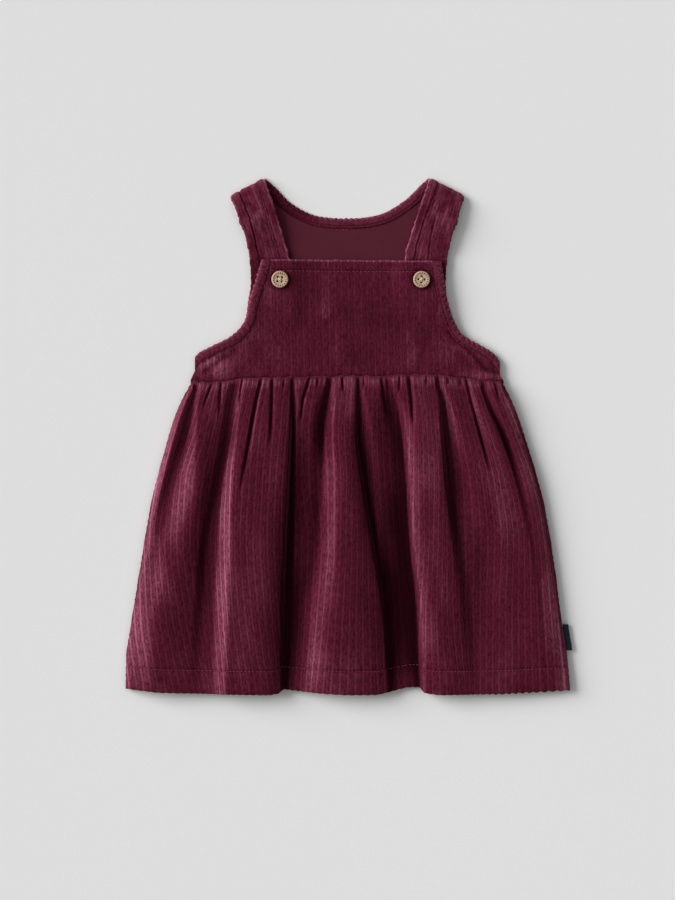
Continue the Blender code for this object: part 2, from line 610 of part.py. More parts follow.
def build_strap(side, material):
    """Rear end, half turn over the shoulder, then the front leg down to its end under the bib."""
    edges = np.array(STRAP_EDGES[side])
    legs = [curve_through(edges[:, k], LEG_STEP) for k in (0, 1)]
    half = STRAP_CLOTH / 2
    turn = STRAP_TURN

    def across(distance, share):
        """Plan point `distance` down from the fold and `share` of the way across the strap."""
        ends = []
        for leg in legs:
            stretch = ((len(leg) - 1) * LEG_STEP / STRAP_LENGTH - 1.0) * distance / STRAP_LENGTH
            mark = distance * (1.0 + stretch) / LEG_STEP
            ends.append([np.interp(mark, np.arange(len(leg)), leg[:, i]) for i in (0, 1)])
        ends = np.array(ends)
        return ends[0] + (ends[1] - ends[0]) * share

    path = [(REAR_REACH, half, 0.0, -1.0), (turn, half, 0.0, -1.0)]
    for angle in np.radians((-50.0, -12.0, 25.0, 60.0)):
        path.append((turn - (turn - half) * math.cos(angle), turn + (turn - half) * math.sin(angle),
                     -math.cos(angle), math.sin(angle)))
    rest = 2 * turn - half
    for distance in (turn, 6.0, 13.0, 22.0, 32.0, 40.0, 45.0, 47.5, 58.0, STRAP_LENGTH):
        lift = STRAP_ARCH * math.sin(math.pi * min(1.0, distance / BIB_EDGE_ON_STRAP))
        path.append((distance, rest + lift, 0.0, 1.0))

    shares = np.linspace(0.0, 1.0, 13)
    relief = np.array((-0.5, 0.12, 0.15, -0.45, 0.1, -0.12, 0.1, -0.12, 0.1, -0.35, 0.12, 0.1, -0.5))
    outer = []
    inner = []
    for distance, z, out_p, out_z in path:
        under_bib = distance > BIB_EDGE_ON_STRAP - 2.0
        rise = np.zeros(13) if out_z < 0.0 or under_bib else relief
        top_row = []
        for share, extra in zip(shares, rise):
            reach = half - (0.05 if under_bib else 0.0) + extra * (1.0 if out_z > 0.3 else 0.3)
            x, y = across(distance + out_p * reach, share)
            top_row.append(np.array((x, y, z + out_z * reach)))
        outer.append(top_row)
        low_row = []
        for share in shares[::3]:
            x, y = across(distance - out_p * half, share)
            low_row.append(np.array((x, y, z - out_z * half)))
        inner.append(low_row)
    return cloth_wall("strap_" + side, outer, inner, material)


# ---------------------------------------------------------------- button and label

def build_button(name, x, y, material):
    """A turned disc with a dished face, a raised rim and four thread holes."""
    radius = BUTTON_DIAMETER / 2
    top = BUTTON_THICKNESS
    profile = ((0.0, 0.0), (radius - 1.0, 0.0), (radius - 0.1, 0.8), (radius, top - 0.9),
               (radius - 0.6, top - 0.1), (radius - 1.3, top), (radius - 2.2, top - 0.35),
               (0.0, top - 0.6))
    bm = bmesh.new()
    ring = [bm.verts.new((r * MM, 0.0, z * MM)) for r, z in profile]
    edges = [bm.edges.new(pair) for pair in zip(ring, ring[1:])]
    bmesh.ops.spin(bm, geom=ring + edges, cent=(0, 0, 0), axis=(0, 0, 1), angle=math.tau,
                   steps=28, use_merge=True)
    bmesh.ops.remove_doubles(bm, verts=bm.verts[:], dist=1e-6)
    base = float(bodice_height(np.array((x,)), np.array((y,)))[0]) + CLOTH + WALE_RISE + SEAM_GAP
    bmesh.ops.translate(bm, verts=bm.verts[:], vec=(x * MM, y * MM, base * MM))
    button = finish(name, bm, material)

    cutter_mesh = bmesh.new()
    for k in range(4):
        angle = math.radians(45.0 + 90.0 * k) + (math.radians(-5.0) if x < 0 else math.radians(42.0))
        hole = bmesh.ops.create_cone(cutter_mesh, cap_ends=True, segments=8, radius1=0.75 * MM,
                                     radius2=0.75 * MM, depth=8.0 * MM)
        place = ((x + 2.2 * math.cos(angle)) * MM, (y + 2.2 * math.sin(angle)) * MM, base * MM)
        bmesh.ops.translate(cutter_mesh, verts=hole["verts"], vec=place)
    cutter = finish(name + "_hole_cutter", cutter_mesh, material)
    cutter.hide_render = True
    cutter.display_type = "WIRE"
    holes = button.modifiers.new("thread_holes", "BOOLEAN")
    holes.operation = "DIFFERENCE"
    holes.object = cutter
    return button


def build_label(material):
    """A bare folded tab, caught in the right side seam."""
    low, high = LABEL_SPAN_Y
    half = LABEL_THICKNESS / 2
    rings = []
    for y in np.linspace(low, high, 5):
        _, right = side_edges(y)
        near = float(right) + SEAM_GAP + 0.1
        z = float(side_seam_z(np.array(y)))
        rings.append([np.array((near + reach, y, z + height)) for reach, height in (
            (0.0, -half), (LABEL_REACH - 0.6, -half), (LABEL_REACH, -half + 0.5),
            (LABEL_REACH, half - 0.5), (LABEL_REACH - 0.6, half), (0.0, half))])
    return swept("side_label", rings, material)


def build():
    clear_scene()
    velour = make_material("wine_velour", WINE, 0.85, 0.5)
    band = make_material("wine_binding", WINE_BAND, 0.85, 0.4)
    coconut = make_material("coconut_shell", COCONUT, 0.5, 0.0)
    ribbon = make_material("navy_ribbon", NAVY, 0.7, 0.0)
    build_skirt_back(velour)
    build_skirt_front(velour)
    build_bodice_back(velour)
    build_bodice_front(velour)
    build_armhole_bands(band)
    build_neck_band(band)
    for side in ("left", "right"):
        build_strap(side, velour)
    for name, x, y in BUTTON_PLACES:
        build_button(name, x, y, coconut)
    build_label(ribbon)


build()
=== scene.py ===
"""Looks of a baby's pinafore dress in ribbed cotton velour, laid flat on its back.

Hem towards -Y, shoulders towards +Y, up is +Z. Sizes are in millimetres until a mesh is made.
"""

import math

import bmesh
import bpy
import numpy as np
from mathutils import Matrix, Vector


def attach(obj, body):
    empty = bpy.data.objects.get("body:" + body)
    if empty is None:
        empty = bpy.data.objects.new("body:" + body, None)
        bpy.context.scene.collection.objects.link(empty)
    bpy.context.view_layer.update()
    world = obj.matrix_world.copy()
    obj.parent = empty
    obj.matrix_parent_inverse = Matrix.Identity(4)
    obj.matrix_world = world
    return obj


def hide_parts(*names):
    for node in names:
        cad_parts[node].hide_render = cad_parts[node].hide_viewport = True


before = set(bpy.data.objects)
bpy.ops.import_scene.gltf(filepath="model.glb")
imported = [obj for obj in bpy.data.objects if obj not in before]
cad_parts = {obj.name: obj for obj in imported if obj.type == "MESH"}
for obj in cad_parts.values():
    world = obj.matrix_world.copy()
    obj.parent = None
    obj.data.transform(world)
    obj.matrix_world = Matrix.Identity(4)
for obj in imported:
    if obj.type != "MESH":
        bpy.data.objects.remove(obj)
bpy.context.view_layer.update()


# ================================================================ skirt, front
# One wide panel of cotton velour with a raised wale every 5 mm, gathered into the waist seam. It is
# cut 410 mm wide, lies in three big folds, and its 19 mm hem is turned up and stitched through.

MM = 0.001
SEAM_GAP = 0.3
SKIRT_CLOTH = 1.6
SKIRT_COLUMNS = 656
WALE_PITCH = 5.0
HEM_STITCH_Y = -180.0
# Heights: the front's lowest places, its top at the waist seam, the side seams at the waist and below
FRONT_REST = 4.6
SEAM_TOP = 6.0
SIDE_SEAM_LOW = 1.95
SIDE_SEAM_HIGH = 2.6
# How much fuller the folds are than their table says
FOLD_FULLNESS = 1.12

# Side seams: height on the plan, left edge, right edge
SIDE_Y, SIDE_LEFT, SIDE_RIGHT = np.array((
    (44, -122.6, 119.6),
    (31, -129.4, 125.8),
    (13, -136.4, 132.5),
    (-12, -143.4, 140.3),
    (-49, -152.7, 150.4),
    (-99, -161.2, 158.9),
    (-148, -169, 165.1),
    (-173, -172.4, 169),
    (-199, -172.8, 171.2),
)).T

# Waist seam: x, y
WAIST_X, WAIST_Y = np.array((
    (-124, 43), (-108, 42.3), (-92, 44), (-77, 45.3), (-45, 46.1), (0, 46.9),
    (28, 47), (50, 48.2), (64, 48), (90, 45.5), (105, 43.6), (121, 42.8),
)).T

# Lower edge: x, y
HEM_X, HEM_Y = np.array((
    (-173, -195), (-147, -198), (-104, -199), (-61, -199.7), (-54, -198.4),
    (-51, -195.4), (-40, -196.7), (-20, -198.6), (0, -199.7), (22, -199.6),
    (33, -197), (45, -194), (55, -193.8), (58.5, -198.2), (70, -199.7),
    (117, -199), (148, -197.4), (172, -196),
)).T

# Folds. Each row is one crest, lip or trough, followed down the skirt at the seven fold stations:
# where it runs (x) and how high the cloth is there (z)
FOLD_STATIONS = (40, 26, 5, -34, -84, -134, -198)
FOLDS = {
    "left_side_roll": ((-121.4, -127.4, -134.3, -144.6, -154.8, -163.4, -168.4),
        (8, 8.6, 8.8, 8.8, 8.8, 8.4, 7.4)),
    "left_side_trough": ((-118.4, -120.6, -125.2, -137.2, -150, -160.5, -166),
        (6.6, 6.8, 6.8, 7.2, 9.4, 9.4, 7.8)),
    "left_crest": ((-113.8, -117, -116.8, -117, -128.5, -142.4, -152),
        (9.4, 10.8, 12.6, 14.2, 14.4, 13.6, 11.8)),
    "left_fall": ((-96, -99, -101.4, -107.5, -116.6, -121, -126),
        (9.4, 9.6, 10.4, 11, 11.8, 11, 10.2)),
    "left_trough": ((-87.4, -90, -91.6, -98.8, -109.6, -112.4, -115),
        (6.3, 6.2, 6.8, 7.2, 7.6, 8, 8.6)),
    "left_wall_foot": ((-86, -88.2, -89.8, -96.2, -101.6, -104.2, -105),
        (6.5, 6.4, 7, 7.7, 8.3, 8.7, 9.1)),
    "left_wall_top": ((-82.2, -83.8, -86.4, -91.2, -92.6, -94.4, -95),
        (9.4, 11.2, 12.8, 15.2, 16.6, 16.8, 14.8)),
    "left_plateau": ((-72, -76, -79, -83, -84, -85.5, -86),
        (9.8, 11.4, 13.4, 16.2, 17.4, 17.4, 15.2)),
    "left_lean": ((-56, -56, -56, -62, -67.6, -68, -67),
        (9.6, 11.2, 13, 15.2, 16.7, 16.5, 14.2)),
    "left_lip": ((-46, -46, -46.2, -48, -50.8, -53.4, -53.2),
        (9.2, 10.8, 11.8, 12.8, 12.6, 12.2, 10.2)),
    "centre_left_trough": ((-43.4, -43.2, -43.6, -45.4, -47.2, -48.6, -48.6),
        (6.2, 5.6, 5, 4.7, 4.6, 4.6, 4.7)),
    "centre_left_step": ((-40.4, -40, -40.2, -40.6, -41, -42.4, -44),
        (9.2, 8.8, 8.6, 7.2, 6.6, 5.6, 5.8)),
    "centre_left_puff": ((-19, -26, -31, -31, -31, -38.2, -40.6),
        (9.4, 10, 8.8, 7.2, 6.8, 6, 6.6)),
    "centre_wall_foot": ((-14.4, -15.8, -19, -21.6, -24, -33.4, -37),
        (6, 5.2, 5.6, 6.6, 7.2, 7.2, 7.4)),
    "centre_wall_top": ((-10.8, -10.4, -11.4, -11, -12.6, -16.4, -22.6),
        (9.4, 11.6, 13.4, 15, 15.6, 15.6, 13)),
    "centre_crest": ((-6, -5, -5, -4.6, -6.6, -8.4, -13),
        (9.7, 11.8, 13.8, 16.2, 17, 17.2, 14.6)),
    "centre_lip": ((4.8, 4.4, 3.8, 8.6, 16.8, 24.6, 29),
        (9.4, 11, 12.2, 13.2, 12.8, 11.6, 10)),
    "centre_lip_foot": ((7, 7.4, 7.6, 12.8, 20.8, 29.4, 34.4),
        (6, 5.6, 6, 6.6, 6.6, 5.4, 5.8)),
    "centre_shelf": ((11.4, 14.4, 17.4, 22, 27.2, 33.4, 38),
        (9.2, 10, 8.8, 7, 6.2, 5, 5.4)),
    "centre_right_puff": ((26, 24.6, 27, 32, 37, 41.6, 44.6),
        (9, 8.4, 6.6, 6, 5.6, 5.2, 5.3)),
    "centre_right_trough": ((30.4, 31.8, 36.8, 41, 44.2, 49.4, 51.6),
        (7.2, 5, 4.6, 4.6, 4.6, 4.6, 4.7)),
    "right_wall_foot": ((31.6, 36.4, 40.6, 44.5, 47.6, 52.8, 55.4),
        (7.4, 5.4, 4.9, 4.9, 4.9, 4.9, 5.2)),
    "right_wall_top": ((35.4, 41.4, 44.6, 47.5, 50.6, 55.6, 58.2),
        (9.2, 9.8, 11.2, 12.6, 13, 13, 11.6)),
    "right_crest": ((53, 55, 56.4, 59.5, 62.5, 66.5, 71),
        (9.8, 12.2, 14.2, 15.4, 15.8, 15.6, 13.4)),
    "right_lip": ((66, 69.2, 70.2, 73.2, 78.5, 84, 90.5),
        (9.4, 11.8, 13.6, 14.8, 14.6, 14.2, 11.8)),
    "right_trough": ((68.8, 72.6, 74, 78.2, 87.4, 95.6, 103),
        (6, 5.6, 5.8, 6.8, 9.4, 10.8, 10)),
    "right_low_crest": ((73.4, 79, 86, 97, 110, 122, 128),
        (9.4, 11, 11.4, 11.2, 11, 11, 10.2)),
    "right_short_trough": ((89.8, 93.4, 101, 112.7, 120, 128, 136),
        (8.2, 9, 10.2, 11.2, 11, 10.6, 9.4)),
    "right_narrow_crest": ((96, 100.6, 108.5, 120.5, 128, 136, 143),
        (9.2, 10.2, 11.4, 11.2, 10.6, 10, 9)),
    "right_narrow_lip": ((101, 105.8, 115, 127.8, 139.2, 146.4, 149.6),
        (8.8, 9.6, 10.8, 10.8, 10.2, 9.6, 8.8)),
    "right_side_trough": ((103.8, 108.8, 118.6, 131.6, 143, 149.6, 152.9),
        (6.6, 6.6, 7.6, 8.9, 9.2, 9, 8.4)),
    "right_side_crest": ((109, 115.6, 124.4, 136.4, 147.4, 153.8, 158.4),
        (9, 9.4, 9.6, 9.6, 9, 8.8, 7.8)),
    "right_side_roll": ((118.4, 124.8, 131.7, 143.9, 153.5, 160.4, 168),
        (7.6, 7.8, 7.8, 7.6, 7.4, 7.2, 6.4)),
}

# Gathers under the waist seam: x at the seam, 18 mm down and where it fades, length, depth, half width
GATHERS = (
    (-105.4, -111.5, -113, 26, 1.7, 1),
    (-98.6, -99.8, -100.2, 34, 2, 1.1),
    (-82.2, -84.2, -87, 34, 2.2, 1),
    (-67.4, -71.6, -86.5, 104, 3.2, 1.3),
    (-59, -59.4, -61.4, 62, 2.8, 1.2),
    (-50.6, -50.4, -50.4, 12, 1, 0.8),
    (-30.2, -35.4, -38.6, 42, 2.8, 1.1),
    (-24.4, -24.2, -24.2, 10, 1.2, 0.8),
    (-5, -4.4, -4.2, 15, 2, 0.9),
    (11.2, 11.8, 12, 12, 1.5, 0.8),
    (25.2, 27.2, 29, 32, 2, 1.1),
    (39.2, 38.6, 38.4, 18, 1.2, 0.9),
    (46.2, 48.2, 50.4, 44, 3.4, 1.3),
    (60, 59.6, 59.6, 11, 1, 0.8),
    (76.2, 76.6, 76.8, 9, 1.2, 0.8),
    (85.8, 86.2, 86.4, 9, 1, 0.8),
    (90.4, 94.6, 112.9, 88, 2.4, 1.1),
    (112.6, 116.4, 118, 22, 1.2, 1),
)

# How the wales run. Each row is one wale: its number, counted from the left, and its x at the wale
# stations. The folds swallow cloth at two troughs, so the count starts afresh after each of them
WALE_STATIONS = (43.8, 5, -33.7, -80.2, -134.5, -196.5)
WALES_LEFT = (
    (0, (-134.1, -146.5, -157.3, -162, -161.2, -152.7)),
    (4, (-118.6, -131, -140.3, -146.5, -141.8, -130.2)),
    (8, (-106.2, -115.5, -126.3, -127.9, -121.7, -110.8)),
    (11.4, (-92.2, -98.4, -104.6, -109.3, -107, -101.5)),
    (15.6, (-79.1, -88.4, -93, -93.8, -91.5, -83.7)),
    (18.8, (-67.4, -74.4, -77.5, -79.8, -76, -67.4)),
    (22, (-53.5, -58.1, -61.2, -62.8, -59.7, -53.5)),
)
WALES_CENTRE = (
    (25, (-44.2, -45, -44.2, -41.1, -42.6, -45.7)),
    (27.4, (-30.2, -34.1, -34.1, -29.5, -31.8, -35.7)),
    (30.4, (-10.1, -16.3, -14, -14, -17.8, -23.3)),
    (34, (2.3, 0.8, 2.3, 2.3, 0.8, -0.8)),
    (37.4, (13.2, 11.6, 13.2, 16.3, 17.8, 19.4)),
    (41.2, (27.1, 27.1, 28.7, 31.8, 36.4, 39.5)),
    (43.8, (38, 41.1, 42.6, 44.2, 48.8, 53.5)),
)
WALES_RIGHT = (
    (44, (40.3, 43.4, 42, 40, 39, 38)),
    (47.2, (50, 54.3, 54.5, 55, 52, 50)),
    (50.4, (61.2, 65, 67.4, 66.7, 65.1, 67.4)),
    (54.2, (70.5, 75.2, 79.8, 80.6, 81.4, 86.8)),
    (58, (82.2, 90.7, 98.4, 102, 101.5, 101.5)),
    (61.8, (93, 104.6, 115.5, 121.7, 120.1, 120.1)),
    (66.2, (105.4, 119.4, 131.8, 140.3, 141.8, 143.4)),
    (70.2, (117, 132.5, 146.5, 155.8, 162, 168.2)),
    (73.8, (127.9, 146.5, 160, 171, 179, 188.3)),
)


def smooth(value):
    """Ease from 0 to 1 while value goes from 0 to 1."""
    value = np.clip(value, 0.0, 1.0)
    return value * value * (3.0 - 2.0 * value)


def bell(distance, width):
    """1 at no distance, falling away on both sides over the width."""
    return np.exp(-(distance / width) ** 2)


def through(knots, heights, where):
    """Height at `where` of the smooth curve through the knots, level at each crest and trough."""
    knots = np.asarray(knots, float)
    heights = np.asarray(heights, float)
    run = np.diff(knots)
    slope = np.diff(heights) / run
    rising = slope[:-1] * slope[1:] > 1e-9
    before = (2.0 * run[1:] + run[:-1]) / np.where(rising, slope[:-1], 1.0)
    after = (run[1:] + 2.0 * run[:-1]) / np.where(rising, slope[1:], 1.0)
    mean = np.where(rising, 3.0 * (run[1:] + run[:-1]) / np.where(rising, before + after, 1.0), 0.0)
    tangent = np.concatenate((slope[:1], mean, slope[-1:]))
    where = np.clip(where, knots[0], knots[-1])
    span = np.clip(np.searchsorted(knots, where) - 1, 0, len(run) - 1)
    u = (where - knots[span]) / run[span]
    start = (1 + 2 * u) * (1 - u) ** 2 * heights[span] + u * (1 - u) ** 2 * run[span] * tangent[span]
    end = u * u * (3 - 2 * u) * heights[span + 1] + u * u * (u - 1) * run[span] * tangent[span + 1]
    return start + end


def station(stations, values, y):
    """Value of a row of a table at level y. Stations run downwards."""
    return float(through(stations[::-1], values[::-1], np.array(y)))


def fold_x(name, y):
    return station(FOLD_STATIONS, FOLDS[name][0], y)


def waist_y(x):
    """The waist seam wavers a little between its puffs."""
    return through(WAIST_X, WAIST_Y, x) + 0.40 * np.sin(x / 2.3 + 2.6 * np.sin(x / 9.0))


WAIST_MIDDLE = float(waist_y(np.array(0.0)))
WAIST_HALF = 122.0
# Size of the random grids that unevenness is read from
LATTICE = (97, 89)


def side_edges(y):
    return [through(SIDE_Y[::-1], edge[::-1], y) for edge in (SIDE_LEFT, SIDE_RIGHT)]


def side_seam_z(y):
    """Height of the seam between front and back along the skirt's sides."""
    return SIDE_SEAM_LOW + (SIDE_SEAM_HIGH - SIDE_SEAM_LOW) * smooth((44.0 - y) / 22.0)


def unevenness(across, along, size, seed):
    """Soft random rise between about -1 and 1 that changes over `size`, the same on each run."""
    rows, columns = LATTICE
    lattice = np.random.default_rng(seed).standard_normal(LATTICE)
    u = np.asarray(across, float) / size[0]
    v = np.asarray(along, float) / size[1]
    column = np.floor(u).astype(int)
    row = np.floor(v).astype(int)
    fu = smooth(u - column)
    fv = smooth(v - row)
    near, far = [lattice[line % rows, column % columns] * (1 - fu)
                 + lattice[line % rows, (column + 1) % columns] * fu for line in (row, row + 1)]
    return 0.6 * (near * (1 - fv) + far * fv)


def wale_rise(count, fullness=1.0):
    """Rise of the pile at a place counted in wales: broad low ribs with a fine ridge on each side."""
    off_ridge = WALE_PITCH * (count - np.round(count))
    off_line = WALE_PITCH * (count - 0.5 - np.round(count - 0.5))
    crown = 0.030 * np.cos(math.tau * count)
    return fullness * (0.02 - crown + 0.11 * bell(off_ridge, 0.75) + 0.04 * bell(off_line, 0.50))


def wale_count(x, y):
    """How many wales are left of each place. Each table covers the cloth up to its trough."""
    count = np.zeros_like(x)
    low = -1e9
    breaks = (fold_x("centre_left_trough", y), fold_x("centre_right_trough", y), 1e9)
    for table, high in zip((WALES_LEFT, WALES_CENTRE, WALES_RIGHT), breaks):
        places = [station(WALE_STATIONS, row[1], y) for row in table]
        numbers = [row[0] for row in table]
        first = (numbers[1] - numbers[0]) / (places[1] - places[0])
        last = (numbers[-1] - numbers[-2]) / (places[-1] - places[-2])
        inside = through(places, numbers, x)
        inside += np.minimum(x - places[0], 0.0) * first + np.maximum(x - places[-1], 0.0) * last
        here = (x >= low) & (x < high)
        count[here] = inside[here]
        low = high
    return count


def front_profile(y):
    """The front skirt's outer surface across one level: x and z, closely spaced."""
    left, right = side_edges(y)
    edge_z = side_seam_z(y) + SEAM_GAP / 2 + 1.1
    places, heights = [[station(FOLD_STATIONS, row[i], y) for row in FOLDS.values()] for i in (0, 1)]
    knots_z = [edge_z, edge_z + 0.9, *heights, edge_z + 0.9, edge_z]
    x = np.linspace(left, right, 2400)
    z = through([left, left + 0.8, *places, right - 0.8, right], knots_z, x)
    z += (FOLD_FULLNESS - 1.0) * np.maximum(z - FRONT_REST, 0.0)
    below_seam = WAIST_MIDDLE - y
    # The puffs between the gathers are full and their valleys narrow
    puffed = 0.38 * (1.0 - smooth((below_seam - 8.0) / 42.0))
    z = FRONT_REST + 6.4 * (np.maximum(z - FRONT_REST, 0.01) / 6.4) ** (1.0 - puffed)
    for seam_x, middle_x, end_x, length, depth, half_width in GATHERS:
        if below_seam < length:
            centre = np.interp(below_seam, (0.0, 18.0, max(length, 19.0)), (seam_x, middle_x, end_x))
            fade = smooth(1.6 * (1.0 - below_seam / length))
            z -= depth * fade * np.exp(-np.abs((x - centre) / half_width) ** 2.4)
    edge = smooth((np.minimum(x - left, right - x) - 0.4) / 6.0)
    level = edge_z + (SEAM_TOP - edge_z) * edge
    z = level + (z - level) * smooth(below_seam / 4.0) ** 0.6
    z -= 0.22 * (z - FRONT_REST) * smooth((-174.0 - y) / 24.0) * edge
    return x, np.maximum(z, edge_z + (FRONT_REST - edge_z) * edge)


def shelter(x, z):
    """How walled in each place is by the folds beside it: 0 on open cloth, 1 deep in a slot. It sets the
    painted shade in the folds.
    """
    step = x[1] - x[0]
    left = np.zeros_like(z)
    right = np.zeros_like(z)
    for distance in (0.8, 1.5, 2.5, 4.0, 6.0, 9.0, 12.0, 16.0, 20.0, 24.0):
        k = int(distance / step)
        climb = (z[:-k] - z[k:]) / (k * step)
        left[k:] = np.maximum(left[k:], climb)
        right[:-k] = np.maximum(right[:-k], -climb)
    covered = (left / np.hypot(1.0, left) + right / np.hypot(1.0, right)) / 2
    return smooth((covered - 0.17) / 0.38)


def softened(values, reach):
    """The values averaged with their neighbours, twice over."""
    weights = np.full(2 * reach + 1, 1.0 / (2 * reach + 1))
    for _ in range(2):
        values = np.convolve(np.pad(values, reach, mode="edge"), weights, mode="valid")
    return values


def parallel(x, z, thickness, side):
    """The surface that lies `thickness` below (side -1) or above (side 1) the profile."""
    step = x[1] - x[0]
    best = side * z + thickness
    for k in range(1, int(thickness / step) + 1):
        cap = math.sqrt(thickness ** 2 - (k * step) ** 2)
        best[k:] = np.maximum(best[k:], side * z[:-k] + cap)
        best[:-k] = np.maximum(best[:-k], side * z[k:] + cap)
    return side * best


def run_along(points):
    """Length of a path up to each of its points."""
    steps = np.linalg.norm(np.diff(points, axis=0), axis=1)
    return np.concatenate(((0.0,), np.cumsum(steps)))


def spread(x, z, columns):
    """Places of the columns, equal lengths of cloth apart along the profile."""
    length = run_along(np.column_stack((x, z)))
    return np.interp(np.linspace(0.0, length[-1], columns + 1), length, x)


def skirt_row_y(x, y):
    """Plan y of a row's points: the row follows the waist seam above and the hem below."""
    bottom = FOLD_STATIONS[-1]
    share = np.clip((WAIST_MIDDLE - y) / (WAIST_MIDDLE - bottom), 0.0, 1.0)
    waist_shift = waist_y(x * WAIST_HALF / np.abs(x).max()) - WAIST_MIDDLE
    hem_shift = np.interp(x, HEM_X, HEM_Y) - bottom
    shift = waist_shift * (1.0 - share) ** 3 + hem_shift * smooth((share - 0.7) / 0.3)
    return y + shift - SEAM_GAP / 2


class Finish:
    """A material in the making, with a short call for each kind of shader node."""

    def __init__(self, name, roughness, specular, sheen=()):
        self.material = bpy.data.materials.new(name)
        self.material.use_nodes = True
        self.shader = self.material.node_tree.nodes["Principled BSDF"]
        self.feed(self.shader, (("Roughness", roughness), ("Specular IOR Level", specular)))
        self.feed(self.shader, zip(("Sheen Weight", "Sheen Roughness", "Sheen Tint"), sheen))
        self.place = self.node("TexCoord", "Object")

    def feed(self, node, inputs):
        """Set each socket to a number or colour, or link it to another node's output."""
        for socket, value in inputs:
            if isinstance(value, bpy.types.NodeSocket):
                self.material.node_tree.links.new(value, node.inputs[socket])
            else:
                node.inputs[socket].default_value = value

    def node(self, kind, output, inputs=(), **settings):
        """One output of a new node."""
        node = self.material.node_tree.nodes.new("ShaderNode" + kind)
        for name, value in settings.items():
            setattr(node, name, value)
        self.feed(node, inputs)
        return node.outputs[output]

    def math(self, operation, first, second=0.0, third=0.0):
        return self.node("Math", 0, ((0, first), (1, second), (2, third)), operation=operation)

    def axis(self, vector, name):
        return self.node("SeparateXYZ", name, ((0, vector),))

    def noise(self, where, scale, detail, roughness=0.5):
        return self.node("TexNoise", "Fac", (("Vector", where), ("Scale", scale), ("Detail", detail),
                                             ("Roughness", roughness)))

    def eased(self, value, low, high):
        """0 where the value is at low, easing to 1 where it is at high."""
        return self.node("MapRange", 0, (("Value", value), ("From Min", low), ("From Max", high)),
                         interpolation_type="SMOOTHSTEP")

    def layered(self, total, *layers):
        """The total with so much of each pattern added."""
        for pattern, amount in layers:
            total = self.math("MULTIPLY_ADD", pattern, amount, total)
        return total

    def mixed(self, factor, *colours):
        """A blend of two colours, each a pattern or its red, green and blue."""
        colours = [part if isinstance(part, bpy.types.NodeSocket) else (*part, 1.0) for part in colours]
        return self.node("Mix", "Result", (("Factor", factor), *zip("AB", colours)), data_type="RGBA")

    def done(self, colour, height=None, strength=0.0, distance=0.0):
        """The finished material: its colour, and the bumps that the height makes."""
        self.feed(self.shader, (("Base Color", colour),))
        if height is not None:
            bump = self.node("Bump", "Normal", (("Height", height), ("Strength", strength),
                                                ("Distance", distance)))
            self.feed(self.shader, (("Normal", bump),))
        return self.material


def velour(name, lines_show):
    """Cotton velour of tiny cut loops, with wale lines, and with painted light and shade: a paler, lit copy
    of its colour where the painted shading is below zero, near black where it is above.
    """
    nap = Finish(name, 0.9, 0.0, (0.3, 0.32, (1.0, 0.27, 0.45, 1.0)))
    cloth = nap.node("UVMap", "UV", uv_map="cloth")
    closed = nap.node("Attribute", "Fac", attribute_name="closed")
    painted_light = nap.math("MAXIMUM", nap.math("MULTIPLY", closed, -1.0), 0.0)
    # A fine pale line on each wale, and a fainter one half way between
    wave = nap.math("PINGPONG", nap.axis(cloth, "X"), 0.5)
    lines = nap.layered(nap.eased(wave, 0.21, 0.02), (nap.eased(wave, 0.40, 0.5), 0.22))
    tufts = nap.noise(nap.place, 1250.0, 2.0, 0.6)
    clumps = nap.noise(nap.place, 520.0, 1.0)
    stroke = nap.node("Mapping", "Vector", (("Vector", cloth), ("Scale", (4.4, 1.0, 1.0))))
    brushed = nap.noise(stroke, 1.0, 2.0, 0.6)
    patches = nap.noise(nap.place, 34.0, 2.0)
    # The wale lines show more strongly under the painted highlight.
    tone = nap.layered(-1.38 - 0.25 * lines_show, (tufts, 1.0), (clumps, 0.7), (brushed, 1.8),
                       (patches, 0.30), (lines, lines_show), (nap.math("MULTIPLY", lines, painted_light), 0.55))
    # Painted highlight: where the painted shading is below zero, a paler, lit copy of the colour is mixed in.
    sides = nap.math("MULTIPLY", painted_light, nap.layered(0.5184, (tone, 0.432)))
    ends = nap.mixed(tone, (0.044, 0.0050, 0.0120), (0.122, 0.0155, 0.0345))
    lit_colour_copy = nap.mixed(tone, (0.15, 0.0425, 0.07), (0.45, 0.1275, 0.21))
    # Painted shade: where the painted shading is above zero, the colour is mixed towards near black.
    painted_shade = nap.math("MULTIPLY", closed, 0.88)
    colour = nap.mixed(painted_shade, nap.mixed(sides, ends, lit_colour_copy), (0.008, 0.0009, 0.0022))
    pile = nap.noise(nap.place, 900.0, 3.0, 0.65)
    return nap.done(colour, nap.layered(pile, (lines, 0.10)), 0.85, 0.00040)


def knitted_ground(name):
    """The inside of the velour: fine rows of knitted loops, smooth and matt."""
    knit = Finish(name, 0.85, 0.1, (0.35, 0.5, (1.0, 0.35, 0.50, 1.0)))
    cloth = knit.node("UVMap", "UV", uv_map="cloth")
    columns, rows = [knit.math("PINGPONG", knit.math("MULTIPLY", knit.axis(cloth, axis), number), 0.5)
                     for axis, number in (("X", 5.0), ("Y", 6.0))]
    loops = knit.math("ADD", columns, rows)
    fluff = knit.noise(knit.place, 1000.0, 3.0)
    tone = knit.layered(-0.15, (fluff, 0.6), (knit.noise(knit.place, 40.0, 2.0), 0.4), (loops, 0.35))
    colour = knit.mixed(tone, (0.050, 0.0062, 0.0140), (0.098, 0.0140, 0.0290))
    return knit.done(colour, knit.layered(fluff, (loops, 0.6)), 0.5, 0.0002)


def sewing_thread(name, dark, light):
    """Spun thread: slanting plies and a faint gloss."""
    spun = Finish(name, 0.7, 0.15)
    slant = spun.node("Mapping", "Vector", (("Vector", spun.place), ("Rotation", (0.0, 0.0, 0.7))))
    plies = spun.node("TexWave", "Fac", (("Vector", slant), ("Scale", 900.0), ("Distortion", 1.5)))
    return spun.done(spun.mixed(plies, dark, light), plies, 0.4, 0.0001)


